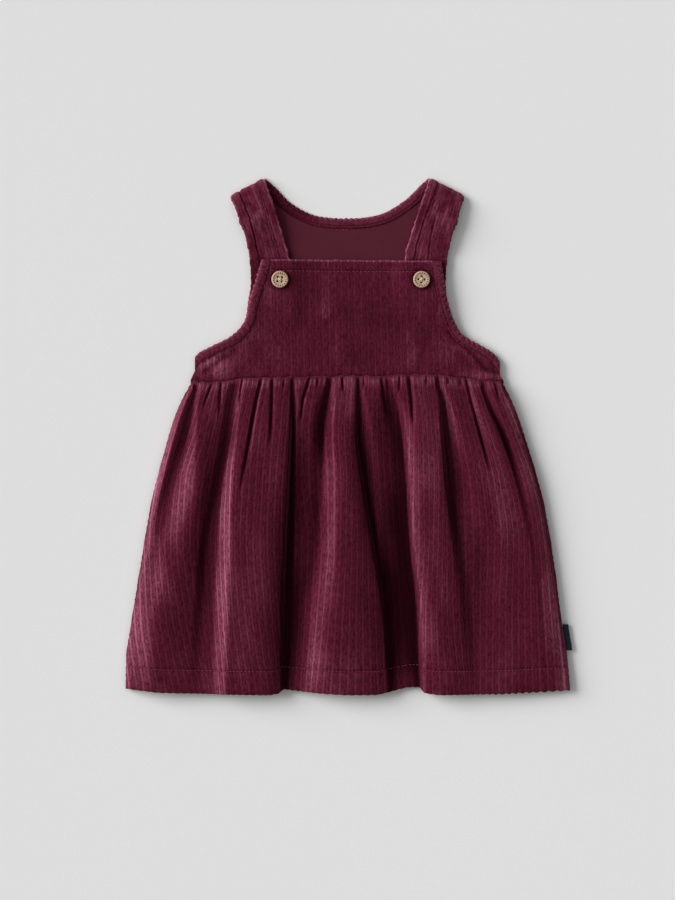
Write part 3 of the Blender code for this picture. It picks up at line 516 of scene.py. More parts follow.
def cloth_mesh():
    """An empty mesh whose points will know their place in the cloth and the light and shade painted on them.
    """
    bm = bmesh.new()
    bm.loops.layers.uv.new("cloth")
    bm.verts.layers.float.new("closed")
    return bm


def lay_cloth(bm, points, cloth=None, finish=0, closed=None):
    """A grid of cloth laid over rows of points, with its place in the cloth as its UV."""
    rows, columns = points.shape[:2]
    made = bmesh.ops.create_grid(bm, x_segments=columns - 1, y_segments=rows - 1, size=0.5)["verts"]
    for vert, point in zip(made, points.reshape(-1, 3)):
        vert.co = point * MM
    if closed is not None:
        share = bm.verts.layers.float["closed"]
        for vert, value in zip(made, closed.reshape(-1)):
            vert[share] = value
    if cloth is not None:
        layer = bm.loops.layers.uv["cloth"]
        for vert, mark in zip(made, cloth.reshape(-1, 2)):
            for loop in vert.link_loops:
                loop[layer].uv = mark
                loop.face.material_index = finish


def sew_shut(bm):
    """Close the gap between the rims of a cloth's two sides."""
    rims = [edge for edge in bm.edges if edge.is_boundary]
    walls = set(bmesh.ops.bridge_loops(bm, edges=rims)["faces"])
    layer = bm.loops.layers.uv["cloth"]
    for face in walls:
        for loop in face.loops:
            known = [other for other in loop.vert.link_loops if other.face not in walls]
            loop[layer].uv = known[0][layer].uv
    bmesh.ops.recalc_face_normals(bm, faces=bm.faces[:])


def add_object(name, data):
    added = bpy.data.objects.new(name, data)
    bpy.context.collection.objects.link(added)
    return added


def add_mesh(name, bm, *materials):
    mesh = bpy.data.meshes.new(name)
    bm.to_mesh(mesh)
    bm.free()
    for material in materials:
        mesh.materials.append(material)
    return add_object(name, mesh)


def make_piece(name, bm, *materials, smooth_angle=65.0):
    """The finished piece, riding on the dress."""
    piece = add_mesh(name, bm, *materials)
    piece.data.shade_smooth()
    piece.data.set_sharp_from_angle(angle=math.radians(smooth_angle))
    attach(piece, "root")
    return piece


def cloth_piece(name, outer, cloth, inner, finish, closed=None):
    """A wall of cloth between its outer points and a plainer inner grid, a quarter as fine."""
    bm = cloth_mesh()
    lay_cloth(bm, outer, cloth, 0, closed)
    lay_cloth(bm, inner[::4, ::4], cloth[::4, ::4], 1)
    sew_shut(bm)
    return make_piece(name, bm, *finish)


def stitch_row(name, path, thread, proud, stitch=2.6, gap=0.4, width=0.36):
    """Thread stitches along a path of points, half sunk in the cloth."""
    path = np.asarray(path, float)
    length = run_along(path)
    bm = bmesh.new()
    mark = 0.5
    while mark + stitch < length[-1]:
        ends = [Vector([np.interp(mark + s, length, path[:, i]) for i in range(3)]) for s in (0.0, stitch)]
        middle = (ends[0] + ends[1]) / 2 + Vector((0.0, 0.0, proud))
        turn = (ends[1] - ends[0]).to_track_quat("X", "Z").to_matrix().to_4x4()
        size = Matrix.Diagonal((stitch / 2 * MM, width / 2 * MM, width / 2 * MM, 1.0))
        place = Matrix.Translation(middle * MM) @ turn @ size
        bmesh.ops.create_icosphere(bm, subdivisions=1, radius=1.0, matrix=place)
        mark += stitch + gap
    return make_piece(name, bm, thread)


wine_velour = velour("wine_velour", lines_show=0.44)
velour_inside = knitted_ground("velour_inside")
wine_thread = sewing_thread("wine_thread", (0.16, 0.030, 0.056), (0.34, 0.085, 0.135))

# Patches of painted shade and light on the skirt, mostly painted shade: x, y, half sizes, how much paler
SKIRT_PAINTED_LIGHT_MARKS = (
    (98.0, -116.0, 13.0, 44.0, -0.34), (36.0, -62.0, 8.0, 34.0, -0.22), (42.0, -126.0, 9.0, 40.0, -0.26),
    (-138.0, -132.0, 16.0, 24.0, -0.14), (-78.0, -92.0, 12.0, 46.0, 0.12), (12.0, -140.0, 14.0, 40.0, -0.08),
    (126.0, -60.0, 12.0, 50.0, 0.05),
)


def paler_by_marks(x, y, marks):
    """How much paler the marks make each place."""
    return sum(paler * bell(x - mark_x, half_x) * bell(y - mark_y, half_y)
               for mark_x, mark_y, half_x, half_y, paler in marks)


def fold_painted_shading(place, y, facing, deep):
    """Painted light and shade on the skirt, from -1, a painted highlight on slopes that face the key lamp, to
    1, painted shade deep in a fold and on slopes turned away from the lamp.
    """
    rising = smooth((facing - 0.10) / 0.62)
    below_seam = WAIST_MIDDLE - y
    # The painted shade is lighter in the two wide troughs than in the slots, and in the short gathers
    for name, width, lighter in (("left_trough", 14.0, 0.50), ("right_trough", 12.0, 0.62)):
        deep = deep * (1.0 - lighter * bell(place - fold_x(name, y), width))
    deep = deep * (0.42 + 0.58 * smooth((below_seam - 6.0) / 50.0))
    # Painted highlight on slopes facing the key lamp, strongest on the left folds
    left_fold = smooth((-72.0 - place) / 12.0) * smooth((10.0 - y) / 80.0)
    lamp_side_highlight = rising * (0.28 + 0.24 * smooth((30.0 - y) / 60.0) + 0.43 * left_fold)
    # Painted shade on slopes turned away from the lamp
    turned = smooth(-facing / 0.75) * (0.12 + 0.18 * smooth(below_seam / 60.0))
    painted_sum = deep * (1.0 - 0.75 * rising) + turned - (1.0 - 0.6 * deep) * lamp_side_highlight
    return painted_sum - paler_by_marks(place, y, SKIRT_PAINTED_LIGHT_MARKS)


def front_row(y, drop):
    """One row of the front: outer points, marks in the cloth, points under them, and its painted light and
    shade.
    """
    x, z = front_profile(y)
    place = spread(x, z, SKIRT_COLUMNS)
    top = np.interp(place, x, z)
    slope = np.gradient(top, place)
    lean = np.hypot(1.0, slope)
    count = wale_count(place, y)
    cut_x = count * WALE_PITCH
    below_seam = WAIST_MIDDLE - y
    near_seam = smooth(below_seam / 5.0)
    near_fold = smooth(below_seam / 40.0)
    in_hem = smooth((HEM_STITCH_Y - y) / 1.5)
    rise = wale_rise(count, 1.35 + 0.5 * in_hem) * (0.4 + 0.6 * near_seam)
    rise += 0.10 * unevenness(cut_x, y, (1.3, 1.7), 11)
    rise += 0.22 * near_seam * unevenness(cut_x, y, (11.0, 34.0), 12)
    rise += 0.30 * in_hem - 0.50 * bell(y - HEM_STITCH_Y, 1.0)
    # Painted shade deep between folds, from how walled in each place is
    deep = np.interp(place, x, softened(shelter(x, z), 2 + int(4 * near_fold)))
    reach = 9 + int(5 * near_fold + 16 * smooth(-y / 120.0))
    gentle, crisp = [np.interp(place, x, np.gradient(softened(z, width), x)) for width in (reach, 6)]
    # Over the right fold the painted light and shade follow the slope more sharply than over the others
    gentle += (crisp - gentle) * smooth((place - 24.0) / 12.0) * (1.0 - smooth((place - 66.0) / 10.0))
    closed = fold_painted_shading(place, y, gentle / np.hypot(1.0, gentle), deep)
    # Painted shade along the waist seam and the hem stitching, random patches of tone, and painted light on
    # the puffs just under the seam
    closed += 0.15 * math.exp(-below_seam / 0.8) + 0.22 * bell(y - HEM_STITCH_Y, 0.9)
    closed += 0.16 * unevenness(cut_x, y, (9.0, 30.0), 15)
    closed -= 0.30 * bell(below_seam - 4.0, 4.0) * (1.0 - smooth(deep / 0.4))
    # A painted highlight along the side edges
    left, right = side_edges(y)
    rim = np.minimum(place - left, right - place)
    rim_width = np.where(place > 0.0, 6.5, 3.0)
    closed = np.clip(closed, -1.0, 1.0) - 0.9 * bell(rim, rim_width) * smooth(below_seam / 20.0)
    ruffle = (0.16 + 0.36 * smooth((place - 96.0) / 24.0)) * smooth((-193.0 - y) / 4.0)
    row_y = skirt_row_y(place, y) + ruffle * np.cos(math.tau * count)
    scallop = 0.30 * np.cos(math.tau * y / 5.6) * np.exp(-rim / 2.0) * np.where(place < 0.0, 1.0, -1.0)
    outer = np.column_stack((place - rise * slope / lean + scallop, row_y, top + rise / lean - drop))
    under = np.interp(place, x, parallel(x, z, SKIRT_CLOTH, -1))
    cloth = np.column_stack((count, np.full_like(count, -y / WALE_PITCH)))
    return outer, cloth, np.column_stack((place + scallop, row_y, under)), np.clip(closed, -1.0, 1.0)


# Rows run down the skirt, close together in the gathers: level, and how far the edge rolls over there
skirt_rows = [(WAIST_MIDDLE, 0.6), (WAIST_MIDDLE - 0.3, 0.2)]
for y in (*(WAIST_MIDDLE - np.arange(0.9, 14.0, 1.0)), *(WAIST_MIDDLE - np.arange(14.5, 44.0, 1.6)),
          *np.linspace(1.4, -177.6, 77), -178.8, -179.5, HEM_STITCH_Y, -180.5, -181.2, -182.5, -184.5,
          -187.0, -189.5, -192.0, -197.1):
    skirt_rows.append((y, 0.0))
skirt_rows += [(-197.7, 0.25), (-198.0, 0.8)]

front_rows = [front_row(y, drop) for y, drop in skirt_rows]
outer, cloth, inner, closed = (np.array(part) for part in zip(*front_rows))
skirt_front = cloth_piece("skirt_front_velour", outer, cloth, inner, (wine_velour, velour_inside), closed)
hem_line = outer[skirt_rows.index((HEM_STITCH_Y, 0.0))]
hem_stitches = stitch_row("hem_stitches", hem_line, wine_thread, 0.10)
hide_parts("skirt_front")


# ================================================================ skirt, back
# The same cut as the front, gathered into the waist seam and lying flat on the table. Its nap shows
# from below and its plain knitted inside through the open hem.

BACK_GATHERS = 24
BACK_FOLD_RISE = 2.1
BACK_WALES = 70.0
BACK_COLUMNS = 492


def back_profile(y):
    """The back skirt's underside across one level: x and z, closely spaced."""
    left, right = side_edges(y)
    x = np.linspace(left, right, 2000)
    z = np.zeros_like(x)
    below_seam = WAIST_MIDDLE - y
    share = (y - FOLD_STATIONS[-1]) / (FOLD_STATIONS[0] - FOLD_STATIONS[-1])
    for i in range(BACK_GATHERS):
        place = (i + 0.5 + 0.22 * math.sin(2.3 * i)) / BACK_GATHERS
        long_fold = i % 4 == 1
        length = 260.0 if long_fold else 34.0 + 24.0 * math.sin(1.9 * i) ** 2
        width = 2.6 + (5.5 * (1.0 - share) if long_fold else 0.0)
        if below_seam < length:
            fade = smooth(below_seam / 5.0) * smooth(1.5 * (1.0 - below_seam / length))
            off_fold = np.abs(x - left - (right - left) * place)
            z = np.maximum(z, BACK_FOLD_RISE * fade * (1.0 - smooth(off_fold / width)))
    rim = np.minimum(x - left, right - x)
    lift = max(0.0, side_seam_z(y) - SEAM_GAP / 2 - SKIRT_CLOTH)
    return x, np.maximum(z * smooth((rim - 2.0) / 6.0), lift * (1.0 - np.clip(rim / 5.0, 0.0, 1.0)) ** 2)


def back_row(y, lift=0.0):
    """One row of the back: underside points, marks in the cloth, and the inside above them."""
    x, z = back_profile(y)
    place = spread(x, z, BACK_COLUMNS)
    count = BACK_WALES * np.linspace(0.0, 1.0, BACK_COLUMNS + 1)
    pile = 0.20 - wale_rise(count) + 0.05 * unevenness(count * WALE_PITCH, y, (1.3, 1.7), 14)
    pile = np.maximum(pile + 0.45 * bell(y - HEM_STITCH_Y, 0.9), 0.0)
    row_y = skirt_row_y(place, y)
    under = np.column_stack((place, row_y, np.interp(place, x, z) + pile + lift))
    inside = np.column_stack((place, row_y, np.interp(place, x, parallel(x, z, SKIRT_CLOTH, 1))))
    return under, np.column_stack((count, np.full_like(count, -y / WALE_PITCH))), inside


back_rows = [back_row(y) for y in (*np.linspace(45.0, 6.0, 24)[1:], *np.linspace(3.0, -176.0, 52),
                                   -179.0, -180.0, -181.0, -184.0, -189.0, -193.0, -196.0)]
back_rows += [back_row(-197.0, 0.05), back_row(-197.6, 0.2), back_row(-198.0, 0.6)]
skirt_back = cloth_piece("skirt_back_velour", *(np.array(part) for part in zip(*back_rows)),
                         (wine_velour, velour_inside))
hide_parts("skirt_back")


# ================================================================ bodice, back
# Back panel with the rear halves of the straps cut on it. The plain knitted side faces up and shows
# through the neck. The velour side lies on the table.

CLOTH = 1.7
BAND_WIDTH = 6.6
NECK_BAND_WIDTH = 7.6
# Side seams of the bodice: x at the waist seam and at the underarm
WING_LEFT = (-122.7, -118.9)
WING_RIGHT = (119.7, 116.9)
REAR_REACH = 6.0

# Outer edge of each back armhole, from the side seam up to the shoulder fold: x, y
ARMHOLE_BACK = {
    "left": ((-124.4, 53.9), (-119.2, 60.4), (-114.8, 64.8), (-105.6, 69.4), (-90.8, 77.3), (-81.2, 88),
             (-78.6, 103), (-76.2, 120), (-76.7, 140.7), (-79.8, 157.7), (-86, 174.8),
             (-92.5, 187.6)),
    "right": ((121.4, 49.9), (116.8, 57), (111.4, 63.8), (101, 70.2), (87, 78.8), (79.9, 91.4),
              (75.6, 107.3), (73.6, 122.1), (75.8, 138), (80.6, 160.8), (84.5, 174.8),
              (89.4, 187.6)),
}
# Neck edge of the back, from the left shoulder to the right one: x, y
NECK_EDGE = ((-65.6, 200.4), (-56.6, 192.6), (-44.2, 180.2), (-25.6, 171.2), (0, 169),
             (24, 172.2), (42.6, 182.5), (55, 194.4), (61.8, 200.4))
# Outer and inner end of each shoulder fold
SHOULDER_FOLD = {"left": ((-91.5, 185.6), (-65.6, 199.8)), "right": ((88.4, 185.6), (62.4, 199.8))}


def even_steps(curve, count):
    """The same curve as `count` points equal lengths apart."""
    length = run_along(curve)
    marks = np.linspace(0.0, length[-1], count)
    return np.column_stack([np.interp(marks, length, part) for part in curve.T])


def curve_through(points, step):
    """Plan points about `step` apart on a smooth curve through the given ones."""
    points = np.asarray(points, float)
    padded = np.vstack((2 * points[0] - points[1], points, 2 * points[-1] - points[-2]))
    fine = [points[0]]
    for a, b, c, d in zip(padded, padded[1:], padded[2:], padded[3:]):
        for u in np.linspace(0.0, 1.0, 33)[1:]:
            fine.append(0.5 * (2 * b + (c - a) * u + (2 * a - 5 * b + 4 * c - d) * u ** 2
                               + (3 * b - a - 3 * c + d) * u ** 3))
    fine = np.array(fine)
    return even_steps(fine, round(run_along(fine)[-1] / step) + 1)


def shifted(curve, distance):
    """The curve moved sideways to its right by `distance`."""
    along = np.gradient(curve, axis=0)
    along /= np.hypot(along[:, 0], along[:, 1])[:, None]
    return curve + np.column_stack((along[:, 1], -along[:, 0])) * np.reshape(distance, (-1, 1))


def shoulder_cut(side):
    """Line that ends the back's pieces just short of the strap's rear end: a point and a direction."""
    outer, inner = np.array(SHOULDER_FOLD[side])
    along = (inner - outer) / np.hypot(*(inner - outer))
    away = np.array((-along[1], along[0])) * np.sign(along[0])
    return outer - away * (REAR_REACH + SEAM_GAP), away


def up_to_cut(curve, side):
    """The part of a curve that lies before the shoulder cut."""
    place, away = shoulder_cut(side)
    before = (place - curve) @ away
    last = int(np.argmax(before < 0.0))
    share = before[last - 1] / (before[last - 1] - before[last])
    end = curve[last - 1] + (curve[last] - curve[last - 1]) * share
    return np.vstack((curve[:last], end))


def back_half(side, rows_below, rows_above, columns):
    """Plan points of one half of the back panel, row by row from its outer edge to the middle."""
    inward = 1 if side == "left" else -1
    wing = WING_LEFT[0] if side == "left" else WING_RIGHT[0]
    armhole = shifted(curve_through(ARMHOLE_BACK[side], 1.0), inward * BAND_WIDTH)
    armhole = armhole[np.abs(armhole[:, 0]) < abs(wing)]
    outside = np.vstack(((wing, waist_y(wing) + SEAM_GAP / 2), up_to_cut(armhole, side)))
    neck = shifted(curve_through(NECK_EDGE, 1.0), NECK_BAND_WIDTH)
    middle = int(np.argmin(np.abs(neck[:, 0])))
    neck = neck[middle::-1] if side == "left" else neck[middle:]
    neck[0, 0] = 0.0
    neck = up_to_cut(neck, side)
    # Rows that start below `turn` end on the panel's middle line, and those above it on the neck's edge
    fine = even_steps(outside, 1001)
    turn = 690
    seam = np.array(((0.0, WAIST_MIDDLE + SEAM_GAP / 2), neck[0]))
    outside, inside = [np.vstack((even_steps(low, rows_below + 1), even_steps(high, rows_above + 1)[1:]))
                       for low, high in ((fine[:turn + 1], fine[turn:]), (seam, neck))]
    across = np.linspace(0.0, 1.0, columns + 1)[None, :, None]
    plan = outside[:, None, :] * (1.0 - across) + inside[:, None, :] * across
    fade = np.clip(1.0 - np.arange(len(plan)) / rows_below, 0.0, 1.0)[:, None] ** 2
    straight = plan[0, 0, 1] + (plan[0, -1, 1] - plan[0, 0, 1]) * across[0, :, 0]
    plan[:, :, 1] += fade * (waist_y(plan[0, :, 0]) + SEAM_GAP / 2 - straight)[None, :]
    return plan


bm = cloth_mesh()
for side in ("left", "right"):
    x, y = np.moveaxis(back_half(side, rows_below=76, rows_above=28, columns=88), 2, 0)
    cloth = np.dstack((x, -y)) / WALE_PITCH
    under = np.maximum(0.2 - wale_rise(x / WALE_PITCH), 0.0)
    soft = 0.10 * unevenness(x, y, (19.0, 15.0), 21) + 0.04 * unevenness(x, y, (5.0, 6.0), 22)
    lay_cloth(bm, np.dstack((x, y, under)), cloth)
    lay_cloth(bm, np.dstack((x, y, CLOTH + soft)), cloth, 1)
bmesh.ops.remove_doubles(bm, verts=bm.verts[:], dist=0.02 * MM)
sew_shut(bm)
bodice_back = make_piece("bodice_back_velour", bm, wine_velour, velour_inside)
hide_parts("bodice_back")


# ================================================================ back neck and back armhole bindings
# Strips of the same velour, folded over the raw edges of the back and stitched down. Their ribs run
# across them, so that their outer edge is scalloped.

NECK_BAND_TOP = 2.6
BACK_BAND_TOP = 3.0
BINDING_PITCH = 4.5
RIB_SLANT = 0.7

wine_binding = velour("wine_binding", lines_show=0.16)


def rounded(section, times=2):
    """A looped outline with its corners cut back, again and again."""
    section = np.asarray(section, float)
    for _ in range(times):
        ahead = np.roll(section, -1, axis=0)
        nearer = 0.75 * section + 0.25 * ahead
        further = 0.25 * section + 0.75 * ahead
        section = np.stack((nearer, further), axis=1).reshape(-1, 2)
    return section


def close_up(bm, cuts=()):
    """Join the long seam of a rolled-up grid, trim it at the cuts and close its ends."""
    bmesh.ops.remove_doubles(bm, verts=bm.verts[:], dist=0.001 * MM)
    for place, direction in cuts:
        geometry = bm.verts[:] + bm.edges[:] + bm.faces[:]
        bmesh.ops.bisect_plane(bm, geom=geometry, dist=1e-7, clear_outer=True,
                               plane_co=(place[0] * MM, place[1] * MM, 0.0), plane_no=(*direction, 0.0))
    bmesh.ops.holes_fill(bm, edges=[edge for edge in bm.edges if edge.is_boundary], sides=0)
    bmesh.ops.recalc_face_normals(bm, faces=bm.faces[:])


def band_fullness(x):
    """Share of its full height that a binding keeps: it flattens towards the side seams."""
    return 0.64 + 0.36 * smooth(np.minimum(x - WING_LEFT[1], WING_RIGHT[1] - x) / 20.0)


def binding(name, edge, section, inward, base, ribs, cuts=(), groove=5.0, limit=99.0, plain=0.0, painted_shade=0.0):
    """A strip along an edge, capped at both ends. Its section holds distances in from the edge and heights.
    It is kept within `limit` of the edge, and its seam and the painted shade in its groove fade out where
    `plain` reaches 1. The last argument adds painted shade along the way."""
    section = rounded(section)
    ahead = np.roll(section, -1, axis=0) - np.roll(section, 1, axis=0)
    facing = np.column_stack((-ahead[:, 1], ahead[:, 0])) / np.hypot(ahead[:, 0], ahead[:, 1])[:, None]
    facing *= np.sign(((section - section.mean(axis=0)) * facing).sum(axis=1))[:, None]
    run = run_along(edge)
    seam_shows = 1.0 - plain
    rows, marks, closed = [], [], []
    for k in (*range(len(section)), 0):
        inset, height = section[k]
        # Painted shade in the seam's groove and inward of it, and a painted highlight along the outer edge
        groove_shade = 0.35 * bell(inset - groove, 0.5) + 0.5 * smooth((inset - groove - 1.0) / 0.6)
        closed.append(seam_shows * groove_shade - 0.12 - 0.50 * bell(inset, 1.4) + painted_shade + 0.0 * run)
        rise = ribs(run, inset, edge[:, 0]) * smooth(height / 1.2) * (0.4 + 0.6 * seam_shows)
        inset = np.minimum(inset, limit) + 0.0 * run
        track = shifted(edge, inward * inset)
        plan = shifted(edge, inward * (inset + facing[k, 0] * rise))
        above = (height + facing[k, 1] * rise) * band_fullness(track[:, 0])
        rows.append(np.column_stack((plan, base(*track.T) + above)))
        marks.append(np.column_stack((run / BINDING_PITCH, np.full_like(run, k / 6.0))))
    bm = cloth_mesh()
    lay_cloth(bm, np.array(rows), np.array(marks), 0, np.array(closed))
    close_up(bm, cuts)
    return make_piece(name, bm, wine_binding)


def armhole_ribs(seed):
    """How an armhole binding's surface rises and falls: ribs, the stitched groove and the pile."""
    def rise(run, inset, x):
        count = (run + RIB_SLANT * inset) / BINDING_PITCH
        edge = 1.0 - smooth(inset / 4.0)
        rib = (0.05 + 0.16 * edge) * np.cos(math.tau * count) - 0.05 * bell(count % 1.0 - 0.5, 0.09)
        fuzz = 0.14 * unevenness(run, inset, (1.1, 1.4), seed + 3)
        return rib - 0.22 * bell(inset - 5.0, 0.45) + fuzz + 0.12 * unevenness(run, inset, (2.1, 1.8), seed)
    return rise


def neck_ribs(run, inset, x):
    scallop = smooth((14.0 - x) / 18.0) * smooth((x + 62.0) / 6.0)
    edge = 1.0 - smooth(inset / 2.6)
    rib = 0.40 * scallop * edge * np.cos(math.tau * run / 3.9 + 0.8 * np.sin(run / 9.0))
    rib += 0.20 * edge * unevenness(run, inset, (1.3, 3.0), 34)
    fine = 0.04 * np.cos(math.tau * run / 1.25) * (1.0 - 0.6 * scallop)
    groove = -0.40 * bell(inset - 6.1, 0.5) * (0.75 + 0.25 * np.cos(math.tau * run / 2.3))
    return rib + fine + groove + 0.06 * unevenness(run, inset, (2.4, 2.0), 33)


def flat_ground(x, y):
    return np.zeros_like(x)


BACK_SECTION = ((0.0, 1.2), (0.5, 2.4), (2.0, BACK_BAND_TOP), (4.4, BACK_BAND_TOP),
                (BAND_WIDTH - SEAM_GAP, 1.9), (BAND_WIDTH - SEAM_GAP, 0.0), (0.7, 0.0))
NECK_SECTION = ((0.0, 0.8), (0.7, 1.9), (2.6, NECK_BAND_TOP), (5.4, NECK_BAND_TOP), (7.2, 2.45),
                (NECK_BAND_WIDTH + 0.6, 2.2), (NECK_BAND_WIDTH + 0.5, 2.0), (NECK_BAND_WIDTH - SEAM_GAP, 1.9),
                (NECK_BAND_WIDTH - SEAM_GAP, 0.0), (0.7, 0.0))
WING_CUT = {"left": ((WING_LEFT[1] - 0.4, 0.0), (-1.0, 0.0)), "right": ((WING_RIGHT[1], 0.0), (1.0, 0.0))}

for side, inward in (("left", 1), ("right", -1)):
    edge = curve_through(ARMHOLE_BACK[side], 0.5)
    strip = binding("armhole_binding_back_" + side, edge, BACK_SECTION, inward, flat_ground,
                    armhole_ribs(30 + inward), (shoulder_cut(side), WING_CUT[side]))
    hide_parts("armhole_band_back_" + side)

neck_curve = curve_through(NECK_EDGE, 0.5)
# Beside the rear end of each strap only a tongue of the binding runs on, up to the shoulder fold
tongue = np.full(len(neck_curve), 99.0)
for side, foot in (("left", (-60.4, 184.6)), ("right", (57.6, 184.6))):
    place, away = shoulder_cut(side)
    tip = np.array(SHOULDER_FOLD[side][1])
    along = (foot - tip) / np.hypot(*(foot - tip))
    off_strap = np.abs((neck_curve - tip) @ (along[1], -along[0]))
    beyond = ((neck_curve - place) @ away > -0.3) & (np.sign(neck_curve[:, 0]) == np.sign(tip[0]))
    tongue = np.where(beyond, np.maximum(1.05 * off_strap - 0.3, 0.15), tongue)
# Painted shadow of the left strap darkens the binding towards its left end
neck_strip = binding("neck_binding", neck_curve, NECK_SECTION, 1, flat_ground, neck_ribs, groove=6.1,
                     limit=tongue, painted_shade=0.55 * smooth((-18.0 - neck_curve[:, 0]) / 26.0))
tack_thread = sewing_thread("tack_thread", (0.19, 0.055, 0.080), (0.38, 0.14, 0.18))
tack_stitches = stitch_row("neck_tack", [(-10.2, 160.0, 1.9), (0.6, 159.9, 1.9)], tack_thread, 0.1,
                           stitch=1.9, gap=0.5, width=0.42)
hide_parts("neck_band")


# ================================================================ bodice, front
# Bib and side wings in one piece of velour, wales upright. The top edge is turned in and stitched
# down, and the panel bulges where the strap ends are under it.

# Heights of the inner surface: on the back, at the waist seam, and over the strap ends
BODICE_REST = 3.4
WAIST_REST = 4.4
OVER_STRAP = 5.75
BODICE_COLUMNS = 428
BIB_HEM = 8.5
# The top of the bib at its left corner and its right one
BIB_TOP = {"left": 136.8, "right": 135.6}

# Outer edge of each front armhole, from the side seam up to the top of the bib: x, y
ARMHOLE_FRONT = {
    "left": ((-125, 54.5), (-119.9, 61), (-115.5, 65.5), (-106.2, 70.1), (-91.5, 77.9), (-81.4, 88.7),
             (-77.5, 104.2), (-72.1, 122.1), (-67.4, 138)),
    "right": ((122, 50.5), (117.4, 57.6), (112, 64.5), (101.5, 70.9), (87.6, 79.4), (80.6, 91.8),
              (76, 107.3), (73.6, 122.1), (71.3, 137)),
}
BUTTON_PLACES = (("button_left", -53.4, 121.4), ("button_right", 56.1, 121.3))
# Soft creases: points, depth, half width
BODICE_CREASES = (
    (((79, 80), (88.4, 71.5), (97.5, 62.5), (107, 52), (118.5, 49.4)), 0.9, 1.9),
    (((86, 64), (95, 54.5)), 0.45, 2.4),
    (((-95, 62), (-103, 55), (-110.5, 50.5)), 0.75, 2.2),
    (((-104.5, 63.5), (-112, 57)), 0.55, 1.8),
    (((-88, 66), (-93, 58)), 0.35, 2.4),
    (((62.8, 78), (57, 64), (54, 51)), 0.45, 3.4),
    (((-18.6, 86), (-3, 99)), 0.22, 4.5),
    (((14, 88), (38, 83)), 0.25, 6),
)
# Paler and darker patches on the bodice, partly brushed nap and partly painted light, such as the pale left
# wing that faces the lamp: x, y, half sizes, how much paler
NAP_AND_PAINTED_LIGHT_MARKS = (
    (-106, 58, 15, 9, 0.68), (-84, 72, 14, 14, 0.16), (-62, 96, 15, 22, 0.10),
    (-38, 90, 14, 16, -0.10), (-22, 104, 16, 16, 0.06), (22, 96, 22, 16, -0.20),
    (6, 60, 10, 14, -0.22), (30, 68, 12, 14, -0.10), (48, 60, 7, 12, 0.22),
    (74, 66, 16, 13, 0.22), (104, 46.5, 16, 4, 0.36), (96, 66, 9, 9, 0.42),
    (60, 108, 14, 16, 0.06), (-104, 50, 14, 10, 0.30),
)


def bodice_height(x, y):
    """Height of the front bodice's inner surface."""
    z = np.full_like(x, BODICE_REST)
    for middle in (-59.2, 58.2):
        across = smooth((28.0 - np.abs(x - middle)) / 15.0)
        z += (OVER_STRAP - BODICE_REST) * across * smooth((y - 76.0) / 20.0)
    above_seam = y - waist_y(x)
    z += (WAIST_REST - BODICE_REST) * smooth((18.0 - above_seam) / 16.0)
    crease = bell(x - 52.0 - 0.25 * (y - 60.0), 7.0) * smooth((80.0 - y) / 40.0)
    z += 0.9 * crease * smooth(above_seam / 10.0)
    side = np.minimum((x - WING_LEFT[0]) / 24.0, (WING_RIGHT[0] - x) / 13.0)
    low = SIDE_SEAM_LOW + SEAM_GAP / 2
    return low + (z - low) * (0.30 + 0.70 * smooth(side))


def bib_top(x):
    """The bib's top edge, sloping a little down to the right."""
    return BIB_TOP["left"] - 0.009 * (x + 61.0)


def bodice_outline():
    """Upper edge of the front bodice between the two armhole bindings: x and y, left to right."""
    left, right = [shifted(curve_through(ARMHOLE_FRONT[side], 1.0), inward * BAND_WIDTH)
                   for side, inward in (("left", 1), ("right", -1))]
    left = left[left[:, 1] < BIB_TOP["left"]]
    right = right[right[:, 1] < BIB_TOP["right"]][::-1]
    corners = ((left[-1, 0] + 0.2, BIB_TOP["left"]), (right[0, 0] - 0.2, BIB_TOP["right"]))
    return np.vstack((left, corners, right))


def distance_to(points, x, y):
    """Distance of each place from a line through the points."""
    nearest = np.full_like(x, 1e9)
    for (ax, ay), (bx, by) in zip(points, points[1:]):
        run_x, run_y = bx - ax, by - ay
        share = np.clip(((x - ax) * run_x + (y - ay) * run_y) / (run_x ** 2 + run_y ** 2), 0.0, 1.0)
        nearest = np.minimum(nearest, np.hypot(x - ax - share * run_x, y - ay - share * run_y))
    return nearest


def rolled(distance, radius):
    """How far the surface has dropped at a place this far in from a rolled edge."""
    across = np.clip(1.0 - distance / radius, 0.0, 1.0)
    return radius * (1.0 - np.sqrt(1.0 - across ** 2))


